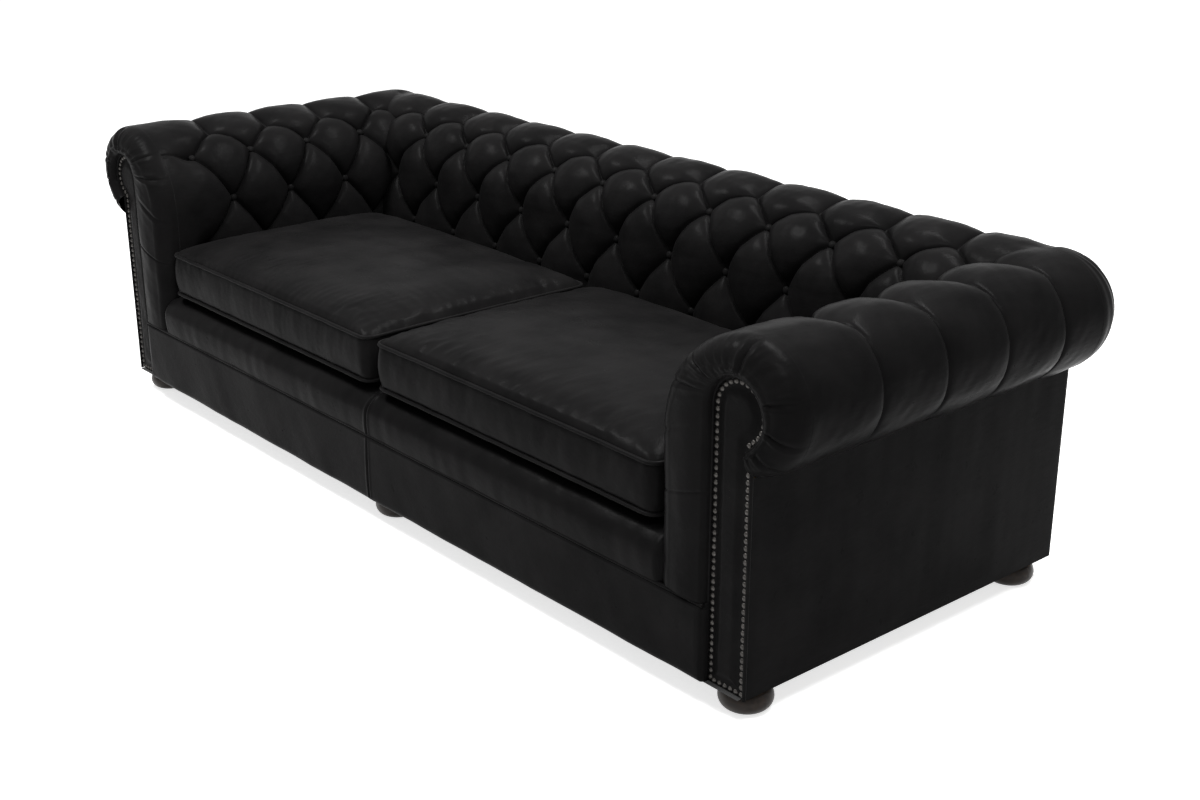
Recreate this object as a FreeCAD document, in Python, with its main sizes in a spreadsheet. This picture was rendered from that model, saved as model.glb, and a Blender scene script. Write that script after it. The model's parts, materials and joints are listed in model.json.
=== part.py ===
import FreeCAD, Part
import math
import os

import Sketcher

Vector = FreeCAD.Vector
UP = Vector(0, 0, 1)
# millimetres within which two places count as the same
SAME_PLACE = 0.01

# The sofa stands on the floor at height zero, its front faces -Y and its length runs along X.
# Sizes are in millimetres. Heights named "level" or "height" count from the underside of the body,
# which stands foot_height above the floor. "Inset" and "wall" count inwards from an outer panel.
SIZES = {
    # body
    "body_length": 2340,
    "body_depth": 912,
    "foot_height": 55,
    "front_proud": 20,
    # rolled arms and back
    "roll_radius": 124,
    "roll_centre_height": 546,
    "arm_roll_inset": 26,
    "back_roll_inset": 58,
    "arm_wall": 226,
    "back_wall": 256,
    "back_crest_radius": 170,
    "pad_low_level": 190,
    "cover_thickness": 52,
    # tufting, rows counted along the padded profile from its low edge
    "row_low": 179,
    "row_middle": 292,
    "row_high": 440,
    "row_top": 528,
    "tuft_depth_low": 36,
    "tuft_depth_middle": 43,
    "tuft_depth_high": 40,
    "tuft_depth_top": 34,
    "arm_first_tuft": 130,
    "arm_tuft_end_room": 91,
    "arm_tuft_columns": 6,
    "back_tuft_end_room": 98,
    "back_tuft_count": 10,
    "button_radius": 9.5,
    "button_height": 7,
    "button_clearance": 0.1,
    # timber frame
    "panel_thickness": 4,
    "rail_thickness": 34,
    "rail_height": 156,
    "frame_thickness": 46,
    "top_rail_rise": 30,
    "top_rail_height": 190,
    "stuffing_rail_low_level": 200,
    "stuffing_rail_height": 60,
    "stud_width": 46,
    "stud_place": 380,
    "block_width": 60,
    "block_height": 100,
    # arm fronts
    "facing_width": 92,
    "facing_thickness": 8,
    "facing_head_radius": 62,
    "facing_head_drop": 9,
    "facing_neck_radius": 8,
    "front_board_thickness": 25,
    "border_round": 44,
    "nail_radius": 5.5,
    "nail_height": 3.2,
    "nail_pitch": 13.5,
    "nail_inset": 7,
    # webbing, springs and seat deck
    "webbing_thickness": 1.5,
    "webbing_width": 50,
    "arm_webbing_count": 7,
    "back_webbing_count": 16,
    "spring_level": 132,
    "spring_wire": 3.8,
    "spring_count": 14,
    "spring_loop": 48,
    "spring_half_width": 28,
    "clip_length": 14,
    "clip_width": 20,
    "clip_height": 9,
    "burlap_thickness": 1.5,
    "deck_level": 262,
    "deck_cover_thickness": 2,
    # front rail cover
    "border_pad": 10,
    "lip_depth": 80,
    "lip_height": 98,
    "lip_round": 48,
    "welt_radius": 4,
    "welt_gap": 0.1,
    "dust_cover_thickness": 1,
    "dust_cover_margin": 10,
    # feet
    "foot_radius": 52,
    "foot_neck_radius": 38,
    "foot_base_radius": 34,
    "foot_neck_height": 7,
    "foot_belly_rise": 2,
    "foot_side_inset": 52,
    "foot_front_inset": 55,
    "foot_rear_inset": 75,
    "glide_radius": 20,
    "glide_height": 4,
    "bolt_radius": 4,
    "bolt_reach_up": 60,
    "bolt_reach_down": 28,
    # seat cushions
    "seat_clearance": 1.5,
    "cushion_lift_gap": 0.3,
    "cushion_side": 110,
    "cushion_front_set_back": 6,
    "cushion_crown": 46,
    "cushion_end_crown": 14,
    "cushion_front_bulge": 5,
    "cushion_corner": 30,
    "cushion_skin": 2,
    "cushion_rear_gap": 3,
    "zip_width": 8,
    "zip_thickness": 2,
    "zip_length": 620,
}

doc = FreeCAD.newDocument("chesterfield_sofa")
sheet = doc.addObject("Spreadsheet::Sheet", "Sizes")
for row, (name, number) in enumerate(SIZES.items(), start=1):
    sheet.set(f"A{row}", name)
    sheet.set(f"B{row}", str(number))
    sheet.setAlias(f"B{row}", name)
doc.recompute()

# Places that follow from the sizes, each worked out once by an expression.
PLACES = {
    "half_length": "Sizes.body_length / 2",
    "under": "Sizes.foot_height",
    "rear_reach": "Sizes.roll_radius - Sizes.back_roll_inset",
    "front": "-(Sizes.body_depth + rear_reach - Sizes.front_proud) / 2",
    "rear": "front + Sizes.body_depth",
    "proud": "front - Sizes.front_proud",
    "frame_low": "under + Sizes.dust_cover_thickness",
    "rail_top": "under + Sizes.rail_height",
    "board_rear": "front + Sizes.facing_thickness + Sizes.front_board_thickness",
    "facing_inner": "Sizes.panel_thickness + Sizes.facing_width",
    "frame_inner": "Sizes.panel_thickness + Sizes.frame_thickness",
    "webbing_inner": "frame_inner + Sizes.webbing_thickness",
    "rail_front": "proud + Sizes.border_pad",
    "rail_rear": "rail_front + Sizes.rail_thickness",
    "rear_rail_front": "rear - Sizes.panel_thickness - Sizes.rail_thickness",
    "arm_crest_radius": "Sizes.arm_wall - Sizes.arm_roll_inset",
    "welt_room": "2 * Sizes.welt_radius + Sizes.welt_gap",
    "welt_half_room": "Sizes.welt_radius + Sizes.welt_gap",
    "top_rail_top": "under + Sizes.roll_centre_height + Sizes.top_rail_rise",
    "top_rail_low": "top_rail_top - Sizes.top_rail_height",
    "facing_head_level": "Sizes.roll_centre_height - Sizes.facing_head_drop",
    "arm_pad_start": "Sizes.facing_thickness + Sizes.front_board_thickness",
    "arm_pad_end": "Sizes.body_depth - Sizes.back_wall",
    "arm_tuft_span": "arm_pad_end - Sizes.arm_first_tuft - Sizes.arm_tuft_end_room",
    "arm_tuft_pitch": "2 * arm_tuft_span / (Sizes.arm_tuft_columns - 1)",
    "back_tuft_span": "2 * (corner_side - Sizes.back_tuft_end_room)",
    "back_tuft_pitch": "back_tuft_span / (Sizes.back_tuft_count - 1)",
    "stuffing_low": "under + Sizes.stuffing_rail_low_level",
    "stuffing_top": "stuffing_low + Sizes.stuffing_rail_height",
    "corner_front": "rear - Sizes.back_wall",
    "corner_side": "half_length - Sizes.arm_wall",
    "spring_middle": "under + Sizes.spring_level",
    "burlap_low": "spring_middle + Sizes.spring_wire / 2",
    "deck_low": "burlap_low + Sizes.burlap_thickness",
    "deck_top": "under + Sizes.deck_level",
    "lip_rear": "proud + Sizes.lip_depth",
    "cushion_low": "deck_top + Sizes.cushion_lift_gap",
    "cushion_front": "proud + Sizes.cushion_front_set_back",
    "cushion_rear": "corner_front - Sizes.cushion_rear_gap",
    "cushion_end": "corner_side - Sizes.seat_clearance",
    "foot_front": "front + Sizes.foot_front_inset",
    "foot_rear": "rear - Sizes.foot_rear_inset",
    "foot_side": "half_length - Sizes.foot_side_inset",
    "block_inner": "Sizes.panel_thickness + Sizes.rail_thickness + Sizes.block_width",
}

places = doc.addObject("Spreadsheet::Sheet", "Places")
for row, name in enumerate(PLACES, start=1):
    places.set(f"A{row}", name)
    places.setAlias(f"B{row}", name)
for row, formula in enumerate(PLACES.values(), start=1):
    places.set(f"B{row}", "=" + formula)
doc.recompute()


def size(name):
    return float(sheet.get(name))


def place(name):
    return float(places.get(name))


pieces = []


def keep(item, name):
    """Mark a document object as a piece of the sofa."""
    item.Label = name
    pieces.append(item)
    return item


def shaped(name, shape):
    """A piece whose shape is worked out by code from the sizes."""
    item = doc.addObject("Part::Feature", name)
    item.Shape = shape
    item.Placement = FreeCAD.Placement()
    return item


def box(name, low, high):
    """A box between two corners, each corner given by three expressions."""
    item = doc.addObject("Part::Box", name)
    for axis, corner in zip("xyz", low):
        item.setExpression(f"Placement.Base.{axis}", corner)
    for side, start, end in zip(("Length", "Width", "Height"), low, high):
        item.setExpression(side, f"({end}) - ({start})")
    return item


def mirrored(source, name):
    """The left-hand copy of a right-hand piece."""
    item = doc.addObject("Part::Mirroring", name)
    item.Source = source
    item.Normal = Vector(1, 0, 0)
    item.Base = Vector(0, 0, 0)
    return item


def group(name, members):
    """Separate solids that share one name."""
    item = doc.addObject("Part::Compound", name)
    item.Links = members
    return item


def cut(name, base, tool):
    item = doc.addObject("Part::Cut", name)
    item.Base = base
    item.Tool = tool
    return item


def both_sides(right_item, plain_name):
    """Keep a right-hand piece and its mirror image."""
    keep(right_item, "right_" + plain_name)
    keep(mirrored(right_item, "left_" + plain_name), "left_" + plain_name)


# Geometry helpers


def line(start, end):
    return Part.LineSegment(start, end).toShape()


def arc(start, middle, end):
    return Part.Arc(start, middle, end).toShape()


def on_circle(centre, radius, degrees):
    """A point of the profile plane, angle from the inward direction up over the top."""
    turn = math.radians(degrees)
    return (centre[0] + radius * math.cos(turn), centre[1] + radius * math.sin(turn))


class Profile:
    """The padded section of an arm or of the back.

    A point is (inset from the outer panel, level above the underside). The section runs from the low edge
    of the wall up to the crest arc, over the crown, round the roll and back under it to the outer panel.
    """

    def __init__(self, wall, roll_inset, crest_radius, sink):
        self.centre = (roll_inset, size("roll_centre_height"))
        self.radius = size("roll_radius") - sink
        self.crest_radius = crest_radius - sink
        self.crest_centre = (roll_inset, self.centre[1] + self.radius - self.crest_radius)
        self.low = (wall - sink, size("pad_low_level"))
        self.tangent = (roll_inset + self.crest_radius, self.crest_centre[1])
        self.crown = (roll_inset, self.centre[1] + self.radius)
        self.outermost = (roll_inset - self.radius, self.centre[1])
        reach = roll_inset - size("panel_thickness")
        drop = math.sqrt(self.radius ** 2 - reach ** 2)
        self.under = (size("panel_thickness"), self.centre[1] - drop)

    def wall_length(self):
        return math.dist(self.low, self.tangent)

    def at(self, distance, depth=0.0):
        """The point at a distance along the padded face, sunk by a depth."""
        length = self.wall_length()
        if distance < length:
            share = distance / length
            across = self.low[0] + (self.tangent[0] - self.low[0]) * share
            level = self.low[1] + (self.tangent[1] - self.low[1]) * share
            lean = math.atan2(self.low[0] - self.tangent[0], self.tangent[1] - self.low[1])
            return (across - depth * math.cos(lean), level - depth * math.sin(lean))
        turn = math.degrees((distance - length) / self.crest_radius)
        return on_circle(self.crest_centre, self.crest_radius - depth, turn)

    def face_length(self):
        return self.wall_length() + self.crest_radius * math.pi / 2


def right_arm_point(point, along):
    """A point of the right arm's section at a distance behind the arm's front."""
    return Vector(place("half_length") - point[0], place("front") + along, place("under") + point[1])


def back_point(point, along):
    """A point of the back's section at a place along the sofa."""
    return Vector(along, place("rear") - point[0], place("under") + point[1])


ARM_FORM = (size("arm_wall"), size("arm_roll_inset"), place("arm_crest_radius"))
BACK_FORM = (size("back_wall"), size("back_roll_inset"), size("back_crest_radius"))
ARM = Profile(*ARM_FORM, 0)
ARM_FOAM = Profile(*ARM_FORM, size("cover_thickness"))
BACK = Profile(*BACK_FORM, 0)
BACK_FOAM = Profile(*BACK_FORM, size("cover_thickness"))


def outer_edges(profile, to_space):
    """The plain outer face of a pad: wall, crest arc and the roll down to the panel."""
    middle_crest = profile.at(profile.wall_length() + profile.crest_radius * math.pi / 4)
    roll_up = on_circle(profile.centre, profile.radius, 135)
    under_across = profile.under[0] - profile.centre[0]
    under_up = profile.under[1] - profile.centre[1]
    tail = math.degrees(math.atan2(under_up, under_across)) % 360
    roll_down = on_circle(profile.centre, profile.radius, (180 + tail) / 2)
    return [
        line(to_space(profile.low), to_space(profile.tangent)),
        arc(to_space(profile.tangent), to_space(middle_crest), to_space(profile.crown)),
        arc(to_space(profile.crown), to_space(roll_up), to_space(profile.outermost)),
        arc(to_space(profile.outermost), to_space(roll_down), to_space(profile.under)),
    ]


def closed_face(edges, to_space, corners):
    """A face from an outline and the straight corners that close it."""
    points = [to_space(corner) for corner in corners]
    closing = [line(first, second) for first, second in zip(points, points[1:])]
    return Part.Face(Part.Wire(Part.__sortEdges__(edges + closing)))


def frame_side_corners(profile):
    """The straight corners of a pad against the frame, from the roll's underside to the wall's foot."""
    top_rail_top = place("top_rail_top") - place("under")
    webbing_top = place("top_rail_low") - place("under") + size("webbing_width")
    return [
        profile.under,
        (size("panel_thickness"), top_rail_top),
        (place("frame_inner"), top_rail_top),
        (place("frame_inner"), webbing_top),
        (place("webbing_inner"), webbing_top),
        (place("webbing_inner"), profile.low[1]),
        profile.low,
    ]


# Timber frame

half = "Places.half_length"
panel = "Sizes.panel_thickness"
rail = "Sizes.rail_thickness"

front_rail_end = f"{half} - Places.facing_inner"
keep(box("front_base_rail",
         (f"-({front_rail_end})", "Places.rail_front", "Places.frame_low"),
         (front_rail_end, "Places.rail_rear", "Places.rail_top")), "front_base_rail")
keep(box("rear_base_rail",
         (f"-({half} - {panel})", "Places.rear_rail_front", "Places.frame_low"),
         (f"{half} - {panel}", f"Places.rear - {panel}", "Places.rail_top")), "rear_base_rail")
both_sides(box("right_base_rail",
               (f"{half} - {panel} - {rail}", "Places.board_rear", "Places.frame_low"),
               (f"{half} - {panel}", "Places.rear_rail_front", "Places.rail_top")), "base_rail")

bolt_places = [
    ("Places.foot_side", "Places.foot_front"),
    ("-Places.foot_side", "Places.foot_front"),
    ("Places.foot_side", "Places.foot_rear"),
    ("-Places.foot_side", "Places.foot_rear"),
]
middle_places = [("0", "Places.foot_front"), ("0", "Places.foot_rear")]


def bolt(name, spot):
    """A round bolt, or the hole for one, at the place of a foot."""
    item = doc.addObject("Part::Cylinder", name)
    item.setExpression("Radius", "Sizes.bolt_radius")
    item.setExpression("Height", "Sizes.bolt_reach_up + Sizes.bolt_reach_down")
    item.setExpression("Placement.Base.x", spot[0])
    item.setExpression("Placement.Base.y", spot[1])
    item.setExpression("Placement.Base.z", "Places.under - Sizes.bolt_reach_down")
    return item


centre_bar = box("centre_bar",
                 (f"-{rail} / 2", "Places.rail_rear", "Places.frame_low"),
                 (f"{rail} / 2", "Places.rear_rail_front", "Places.under + Sizes.block_height"))
centre_holes = group("centre_bolt_holes",
                     [bolt(f"centre_hole_{n}", spot) for n, spot in enumerate(middle_places)])
keep(cut("centre_base_rail", centre_bar, centre_holes), "centre_base_rail")

block_outer = f"{half} - {panel} - {rail}"
block_inner = f"{half} - Places.block_inner"
block_top = "Places.under + Sizes.block_height"
front_block = box("front_block",
                  (block_inner, "Places.board_rear", "Places.frame_low"),
                  (block_outer, "Places.board_rear + Sizes.block_width", block_top))
rear_block = box("rear_block",
                 (block_inner, "Places.rear_rail_front - Sizes.block_width", "Places.frame_low"),
                 (block_outer, "Places.rear_rail_front", block_top))
block_members = []
for number, (block, spot) in enumerate(((front_block, bolt_places[0]), (rear_block, bolt_places[2]))):
    drilled = cut(f"drilled_block_{number}", block, bolt(f"block_hole_{number}", spot))
    block_members += [drilled, mirrored(drilled, f"left_block_{number}")]
keep(group("corner_blocks", block_members), "corner_blocks")

inner_span = f"{half} - Places.frame_inner"
outer_span = f"{half} - {panel}"
frame_front = "Places.rear - Places.frame_inner"
frame_rear = f"Places.rear - {panel}"
both_sides(box("right_arm_top_rail",
               (inner_span, "Places.board_rear", "Places.top_rail_low"),
               (outer_span, frame_front, "Places.top_rail_top")), "arm_top_rail")
both_sides(box("right_arm_stuffing_rail",
               (inner_span, "Places.board_rear", "Places.stuffing_low"),
               (outer_span, frame_front, "Places.stuffing_top")), "arm_stuffing_rail")
keep(box("back_top_rail",
         (f"-({inner_span})", frame_front, "Places.top_rail_low"),
         (inner_span, frame_rear, "Places.top_rail_top")), "back_top_rail")
keep(box("back_stuffing_rail",
         (f"-({inner_span})", frame_front, "Places.stuffing_low"),
         (inner_span, frame_rear, "Places.stuffing_top")), "back_stuffing_rail")

corner_post = box("right_corner_post",
                  (inner_span, frame_front, "Places.rail_top"),
                  (outer_span, frame_rear, "Places.top_rail_top"))
keep(group("corner_posts", [corner_post, mirrored(corner_post, "left_corner_post")]), "corner_posts")

stud_left = "Sizes.stud_place - Sizes.stud_width / 2"
stud_right = "Sizes.stud_place + Sizes.stud_width / 2"
stud_members = []
for label, low, high in (("low_stud", "Places.rail_top", "Places.stuffing_low"),
                         ("high_stud", "Places.stuffing_top", "Places.top_rail_low")):
    stud = box(label, (stud_left, frame_front, low), (stud_right, frame_rear, high))
    stud_members += [stud, mirrored(stud, "left_" + label)]
keep(group("back_studs", stud_members), "back_studs")


# Arm front board and facing panel, both padded out from one keyhole outline


def keyhole_body(name, thickness, along):
    """A keyhole-shaped board: straight neck, round head that leans out over the side."""
    body = doc.addObject("PartDesign::Body", name)
    sketch = body.newObject("Sketcher::SketchObject", name + "_outline")
    plane = [item for item in body.Origin.OriginFeatures if item.Role == "XZ_Plane"][0]
    sketch.AttachmentSupport = (plane, [""])
    sketch.MapMode = "FlatFace"
    radius = size("facing_head_radius")
    neck = size("facing_neck_radius")
    inner = place("facing_inner")
    outer = size("panel_thickness")
    head_inset = inner - radius
    head_level = place("facing_head_level")
    bottom = size("dust_cover_thickness")
    neck_drop = math.sqrt((radius + neck) ** 2 - (head_inset - outer + neck) ** 2)
    share = radius / (radius + neck)

    def spot(inset, level):
        return Vector(-inset, level, 0)

    head = spot(head_inset, head_level)
    neck_centre = spot(outer - neck, head_level - neck_drop)
    joint = head + (neck_centre - head) * share
    joint_angle = math.atan2(joint.y - head.y, joint.x - head.x)
    neck_start = math.atan2(joint.y - neck_centre.y, joint.x - neck_centre.x)
    bottom_edge = sketch.addGeometry(Part.LineSegment(spot(outer, bottom), spot(inner, bottom)), False)
    inner_edge = sketch.addGeometry(Part.LineSegment(spot(inner, bottom), spot(inner, head_level)), False)
    head_arc = sketch.addGeometry(Part.ArcOfCircle(Part.Circle(head, Vector(0, 0, 1), radius),
                                                   joint_angle, math.pi), False)
    neck_arc = sketch.addGeometry(Part.ArcOfCircle(Part.Circle(neck_centre, Vector(0, 0, 1), neck),
                                                   neck_start, math.pi), False)
    outer_edge = sketch.addGeometry(Part.LineSegment(spot(outer, neck_centre.y), spot(outer, bottom)), False)
    sketch.addConstraint(Sketcher.Constraint("Coincident", bottom_edge, 2, inner_edge, 1))
    sketch.addConstraint(Sketcher.Constraint("Coincident", outer_edge, 2, bottom_edge, 1))
    sketch.addConstraint(Sketcher.Constraint("Tangent", inner_edge, 2, head_arc, 2))
    sketch.addConstraint(Sketcher.Constraint("Tangent", head_arc, 1, neck_arc, 1))
    sketch.addConstraint(Sketcher.Constraint("Tangent", neck_arc, 2, outer_edge, 1))
    sketch.addConstraint(Sketcher.Constraint("Horizontal", bottom_edge))
    sketch.addConstraint(Sketcher.Constraint("Vertical", inner_edge))
    sketch.addConstraint(Sketcher.Constraint("Vertical", outer_edge))
    bound = (
        ("DistanceX", (bottom_edge, 1, -1, 1), outer, "Sizes.panel_thickness"),
        ("DistanceX", (bottom_edge, 2, bottom_edge, 1), inner - outer, "Sizes.facing_width"),
        ("DistanceY", (-1, 1, bottom_edge, 1), bottom, "Sizes.dust_cover_thickness"),
        ("DistanceY", (-1, 1, head_arc, 3), head_level, "Places.facing_head_level"),
        ("Radius", (head_arc,), radius, "Sizes.facing_head_radius"),
        ("Radius", (neck_arc,), neck, "Sizes.facing_neck_radius"),
    )
    for kind, where, number, formula in bound:
        index = sketch.addConstraint(Sketcher.Constraint(kind, *where, number))
        sketch.setExpression(f"Constraints[{index}]", formula)
    doc.recompute()
    pad = body.newObject("PartDesign::Pad", name + "_pad")
    pad.Profile = sketch
    pad.setExpression("Length", thickness)
    pad.Reversed = True
    body.Tip = pad
    body.setExpression("Placement.Base.x", half)
    body.setExpression("Placement.Base.y", along)
    body.setExpression("Placement.Base.z", "Places.under")
    doc.recompute()
    return body


facing_panel = keyhole_body("right_facing_panel", "Sizes.facing_thickness", "Places.front")
front_board = keyhole_body("right_arm_front_board", "Sizes.front_board_thickness",
                           "Places.front + Sizes.facing_thickness")
both_sides(facing_panel, "facing_panel")
both_sides(front_board, "arm_front_board")


# Webbing, springs and seat deck


def webbing_strips(name, count, span_start, span_end, across_x):
    """Upright strips, evenly spaced, tacked to the inner faces of the top rail and the stuffing rail."""
    low = "Places.stuffing_low"
    high = "Places.top_rail_low + Sizes.webbing_width"
    strips = []
    for number in range(count):
        share = (number + 0.5) / count
        centre = f"({span_start}) + (({span_end}) - ({span_start})) * {share}"
        near = f"{centre} - Sizes.webbing_width / 2"
        far = f"{centre} + Sizes.webbing_width / 2"
        if across_x:
            strips.append(box(f"{name}_{number}", (near, "Places.rear - Places.webbing_inner", low),
                              (far, "Places.rear - Places.frame_inner", high)))
        else:
            strips.append(box(f"{name}_{number}", (f"{half} - Places.webbing_inner", near, low),
                              (f"{half} - Places.frame_inner", far, high)))
    return group(name, strips)


both_sides(webbing_strips("right_arm_webbing", int(size("arm_webbing_count")), "Places.board_rear",
                          "Places.corner_front", False), "arm_webbing")
keep(webbing_strips("back_webbing", int(size("back_webbing_count")), "-Places.corner_side",
                    "Places.corner_side", True), "back_webbing")


def spring_places():
    """Where the seat springs stand along the sofa, clear of the centre rail."""
    count = int(size("spring_count"))
    span = 2 * place("corner_side")
    return [-span / 2 + span * (number + 0.5) / count for number in range(count)]


def zigzag_spring(across):
    """One serpentine spring from clip to clip: straight runs across, joined by half-round turns."""
    start = place("rail_rear") + size("clip_length")
    end = place("rear_rail_front") - size("clip_length")
    turns = int((end - start) / (size("spring_loop") / 2)) - 1
    step = (end - start) / (turns + 1)
    radius = step / 2
    level = place("spring_middle")
    reach = size("spring_half_width") - radius
    edges = [line(Vector(across, start, level), Vector(across, start + step / 2, level))]
    here = Vector(across, start + step / 2, level)
    side = 1
    for turn in range(turns + 1):
        last = turn == turns
        far = Vector(across if last else across + side * reach, here.y, level)
        if far.distanceToPoint(here) > size("spring_wire") / 2:
            edges.append(line(here, far))
        if last:
            edges.append(line(far, Vector(across, end, level)))
            break
        beyond = Vector(far.x, far.y + step, level)
        edges.append(arc(far, Vector(far.x + side * radius, far.y + radius, level), beyond))
        here = beyond
        side = -side
    path = Part.Wire(edges)
    ring = Part.Wire(Part.makeCircle(size("spring_wire") / 2, edges[0].Vertexes[0].Point, Vector(0, 1, 0)))
    return path, ring


def swept(path, ring, square_corners):
    """A wire of round section along a path, its sharp turns mitred where it has any."""
    shell = Part.BRepOffsetAPI.MakePipeShell(path)
    shell.add(ring)
    if square_corners:
        shell.setTransitionMode(1)
    shell.build()
    shell.makeSolid()
    return shell.shape()


spring_solids = []
clip_solids = []
for across in spring_places():
    path, ring = zigzag_spring(across)
    spring_solids.append(swept(path, ring, True))
    for low_y in (place("rail_rear"), place("rear_rail_front") - size("clip_length")):
        corner = Vector(across - size("clip_width") / 2, low_y, place("burlap_low") - size("clip_height"))
        clip_solids.append(Part.makeBox(size("clip_width"), size("clip_length"), size("clip_height"), corner))
keep(shaped("seat_springs", Part.makeCompound(spring_solids)), "seat_springs")
keep(shaped("spring_clips", Part.makeCompound(clip_solids)), "spring_clips")

keep(box("seat_burlap",
         ("-Places.corner_side", "Places.rail_rear", "Places.burlap_low"),
         ("Places.corner_side", "Places.corner_front", "Places.deck_low")), "seat_burlap")
pad_top = "Places.deck_top - Sizes.deck_cover_thickness"
keep(box("deck_pad",
         ("-Places.corner_side", "Places.lip_rear", "Places.deck_low"),
         ("Places.corner_side", "Places.corner_front", pad_top)), "deck_pad")
keep(box("deck_cover",
         ("-Places.corner_side", "Places.lip_rear", pad_top),
         ("Places.corner_side", "Places.corner_front", "Places.deck_top")), "deck_cover")


# Foam under the tufted covers


def prism(face, direction, length):
    return face.extrude(Vector(direction) * length)


def pad_between(cover, foam):
    """The section between a pad's outer face and the foam under it, as edges in order."""
    def edges(to_space, outer=None):
        front = outer if outer else outer_edges(cover, to_space)
        inner = outer_edges(foam, to_space)
        return front + [line(to_space(cover.under), to_space(foam.under))] + inner[::-1] + [
            line(to_space(foam.low), to_space(cover.low))]
    return edges


def arm_space(along):
    return lambda point: right_arm_point(point, along)


def back_space(along):
    return lambda point: back_point(point, along)


arm_pad_start = place("arm_pad_start")
arm_pad_end = place("arm_pad_end")

arm_foam_face = closed_face(outer_edges(ARM_FOAM, arm_space(arm_pad_start)), arm_space(arm_pad_start),
                            frame_side_corners(ARM_FOAM))
both_sides(shaped("right_arm_foam", prism(arm_foam_face, (0, 1, 0), arm_pad_end - arm_pad_start)), "arm_foam")
back_foam_face = closed_face(outer_edges(BACK_FOAM, back_space(-place("corner_side"))),
                             back_space(-place("corner_side")), frame_side_corners(BACK_FOAM))
keep(shaped("back_foam", prism(back_foam_face, (1, 0, 0), 2 * place("corner_side"))), "back_foam")


# Tufted covers: sections every part of a half pitch, where the valleys between the pillows run in diagonals
# from a button of one row to the buttons of the next row, half a pitch further on

# the floor of a tuft, as a share of half a pitch to each side of its button
FLAT_SHARE = 0.12
# a valley half way between two buttons, as a share of the depth at the buttons
VALLEY_SHARE = 0.55
# what is left of the tufting at the plain ends of a cover
END_FADE = 0.04
# the crests beside the outermost rows, as shares of the depth of the tufts next to them
FOOT_CREST = 0.3
CROWN_CREST = 0.1


def row_distance(row):
    return size("row_" + row)


def row_depth(row):
    return size("tuft_depth_" + row)


def valley_rise(phase):
    """The share of the full depth that a valley has: least half way between its two buttons."""
    return VALLEY_SHARE + (1 - VALLEY_SHARE) * abs(2 * phase - 1)


def valley(first, second, phase, fade):
    """The valley point between a button of one row (phase 0) and one of the next (phase 1)."""
    distance = row_distance(first) + (row_distance(second) - row_distance(first)) * phase
    depth = row_depth(first) + (row_depth(second) - row_depth(first)) * phase
    return distance, depth * valley_rise(phase) * fade


def tufted_section(cover, foam, to_space, phase, fade):
    """A closed section of the tufted cover. Phase 0 cuts the low and high buttons, phase 1 the other rows."""
    stations = [
        (0.0, 0.0),
        valley("low", "middle", phase, fade),
        valley("high", "middle", phase, fade),
        valley("high", "top", phase, fade),
    ]
    full_pillow = row_distance("high") - row_distance("low")
    edges = []
    for (near, near_depth), (far, far_depth) in zip(stations, stations[1:]):
        fullness = min(1.0, (far - near) / full_pillow)
        crest_depth = max(near_depth, far_depth) * (1 - fullness)
        if near == 0.0:
            crest_depth = FOOT_CREST * far_depth
        start = to_space(cover.at(near, near_depth))
        middle = to_space(cover.at((near + far) / 2, crest_depth))
        end = to_space(cover.at(far, far_depth))
        edges.append(arc(start, middle, end))
    near, near_depth = stations[-1]
    crest = cover.at((near + cover.face_length()) / 2, CROWN_CREST * near_depth)
    edges.append(arc(to_space(cover.at(near, near_depth)), to_space(crest), to_space(cover.crown)))
    edges += outer_edges(cover, to_space)[2:]
    return Part.Wire(pad_between(cover, foam)(to_space, edges))


def tuft_stations(first, pitch, count, start, end):
    """Places and phases of the sections between two plain ends."""
    half_pitch = pitch / 2
    stations = [(start, 0.5, END_FADE)]
    for number in range(count):
        centre = first + number * half_pitch
        phase = number % 2
        flat = FLAT_SHARE * half_pitch
        near_phase = FLAT_SHARE if phase == 0 else 1 - FLAT_SHARE
        stations.append((centre - flat, near_phase, 1.0))
        stations.append((centre + flat, near_phase, 1.0))
        if number < count - 1:
            stations.append((centre + half_pitch / 2, 0.5, 1.0))
    stations.append((end, 0.5, END_FADE))
    return stations


def dome(foot, outward, radius, height):
    """A shallow dome on a round flat foot."""
    ball = (radius ** 2 + height ** 2) / (2 * height)
    cap_turn = math.degrees(math.asin(radius / ball))
    cap = Part.makeSphere(ball, foot + outward * (height - ball), outward, 90 - cap_turn, 90, 360)
    above_foot = Part.makeCylinder(2 * ball, height * 2, foot, outward)
    return cap.common(above_foot).Solids[0]


def button_and_seat(profile, row, to_space):
    """A button on the floor of its tuft, and the room that it takes in the cover."""
    depth = row_depth(row) * valley_rise(FLAT_SHARE)
    foot = to_space(profile.at(row_distance(row), depth))
    outward = to_space(profile.at(row_distance(row), 0.0)) - foot
    outward.normalize()
    clearance = size("button_clearance")
    button = dome(foot + outward * clearance, outward, size("button_radius"), size("button_height"))
    seat = Part.makeCylinder(size("button_radius") + clearance, depth, foot, outward)
    return button, seat


def tufted_pad(name, sections, buttons_and_seats):
    """A tufted cover with its seats cut, and the buttons in them."""
    seats = [seat for button, seat in buttons_and_seats]
    cover = shaped(name + "_tufted_cover", Part.makeLoft(sections, True, True).cut(seats))
    buttons = shaped(name + "_buttons", Part.makeCompound([button for button, seat in buttons_and_seats]))
    return cover, buttons


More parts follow.
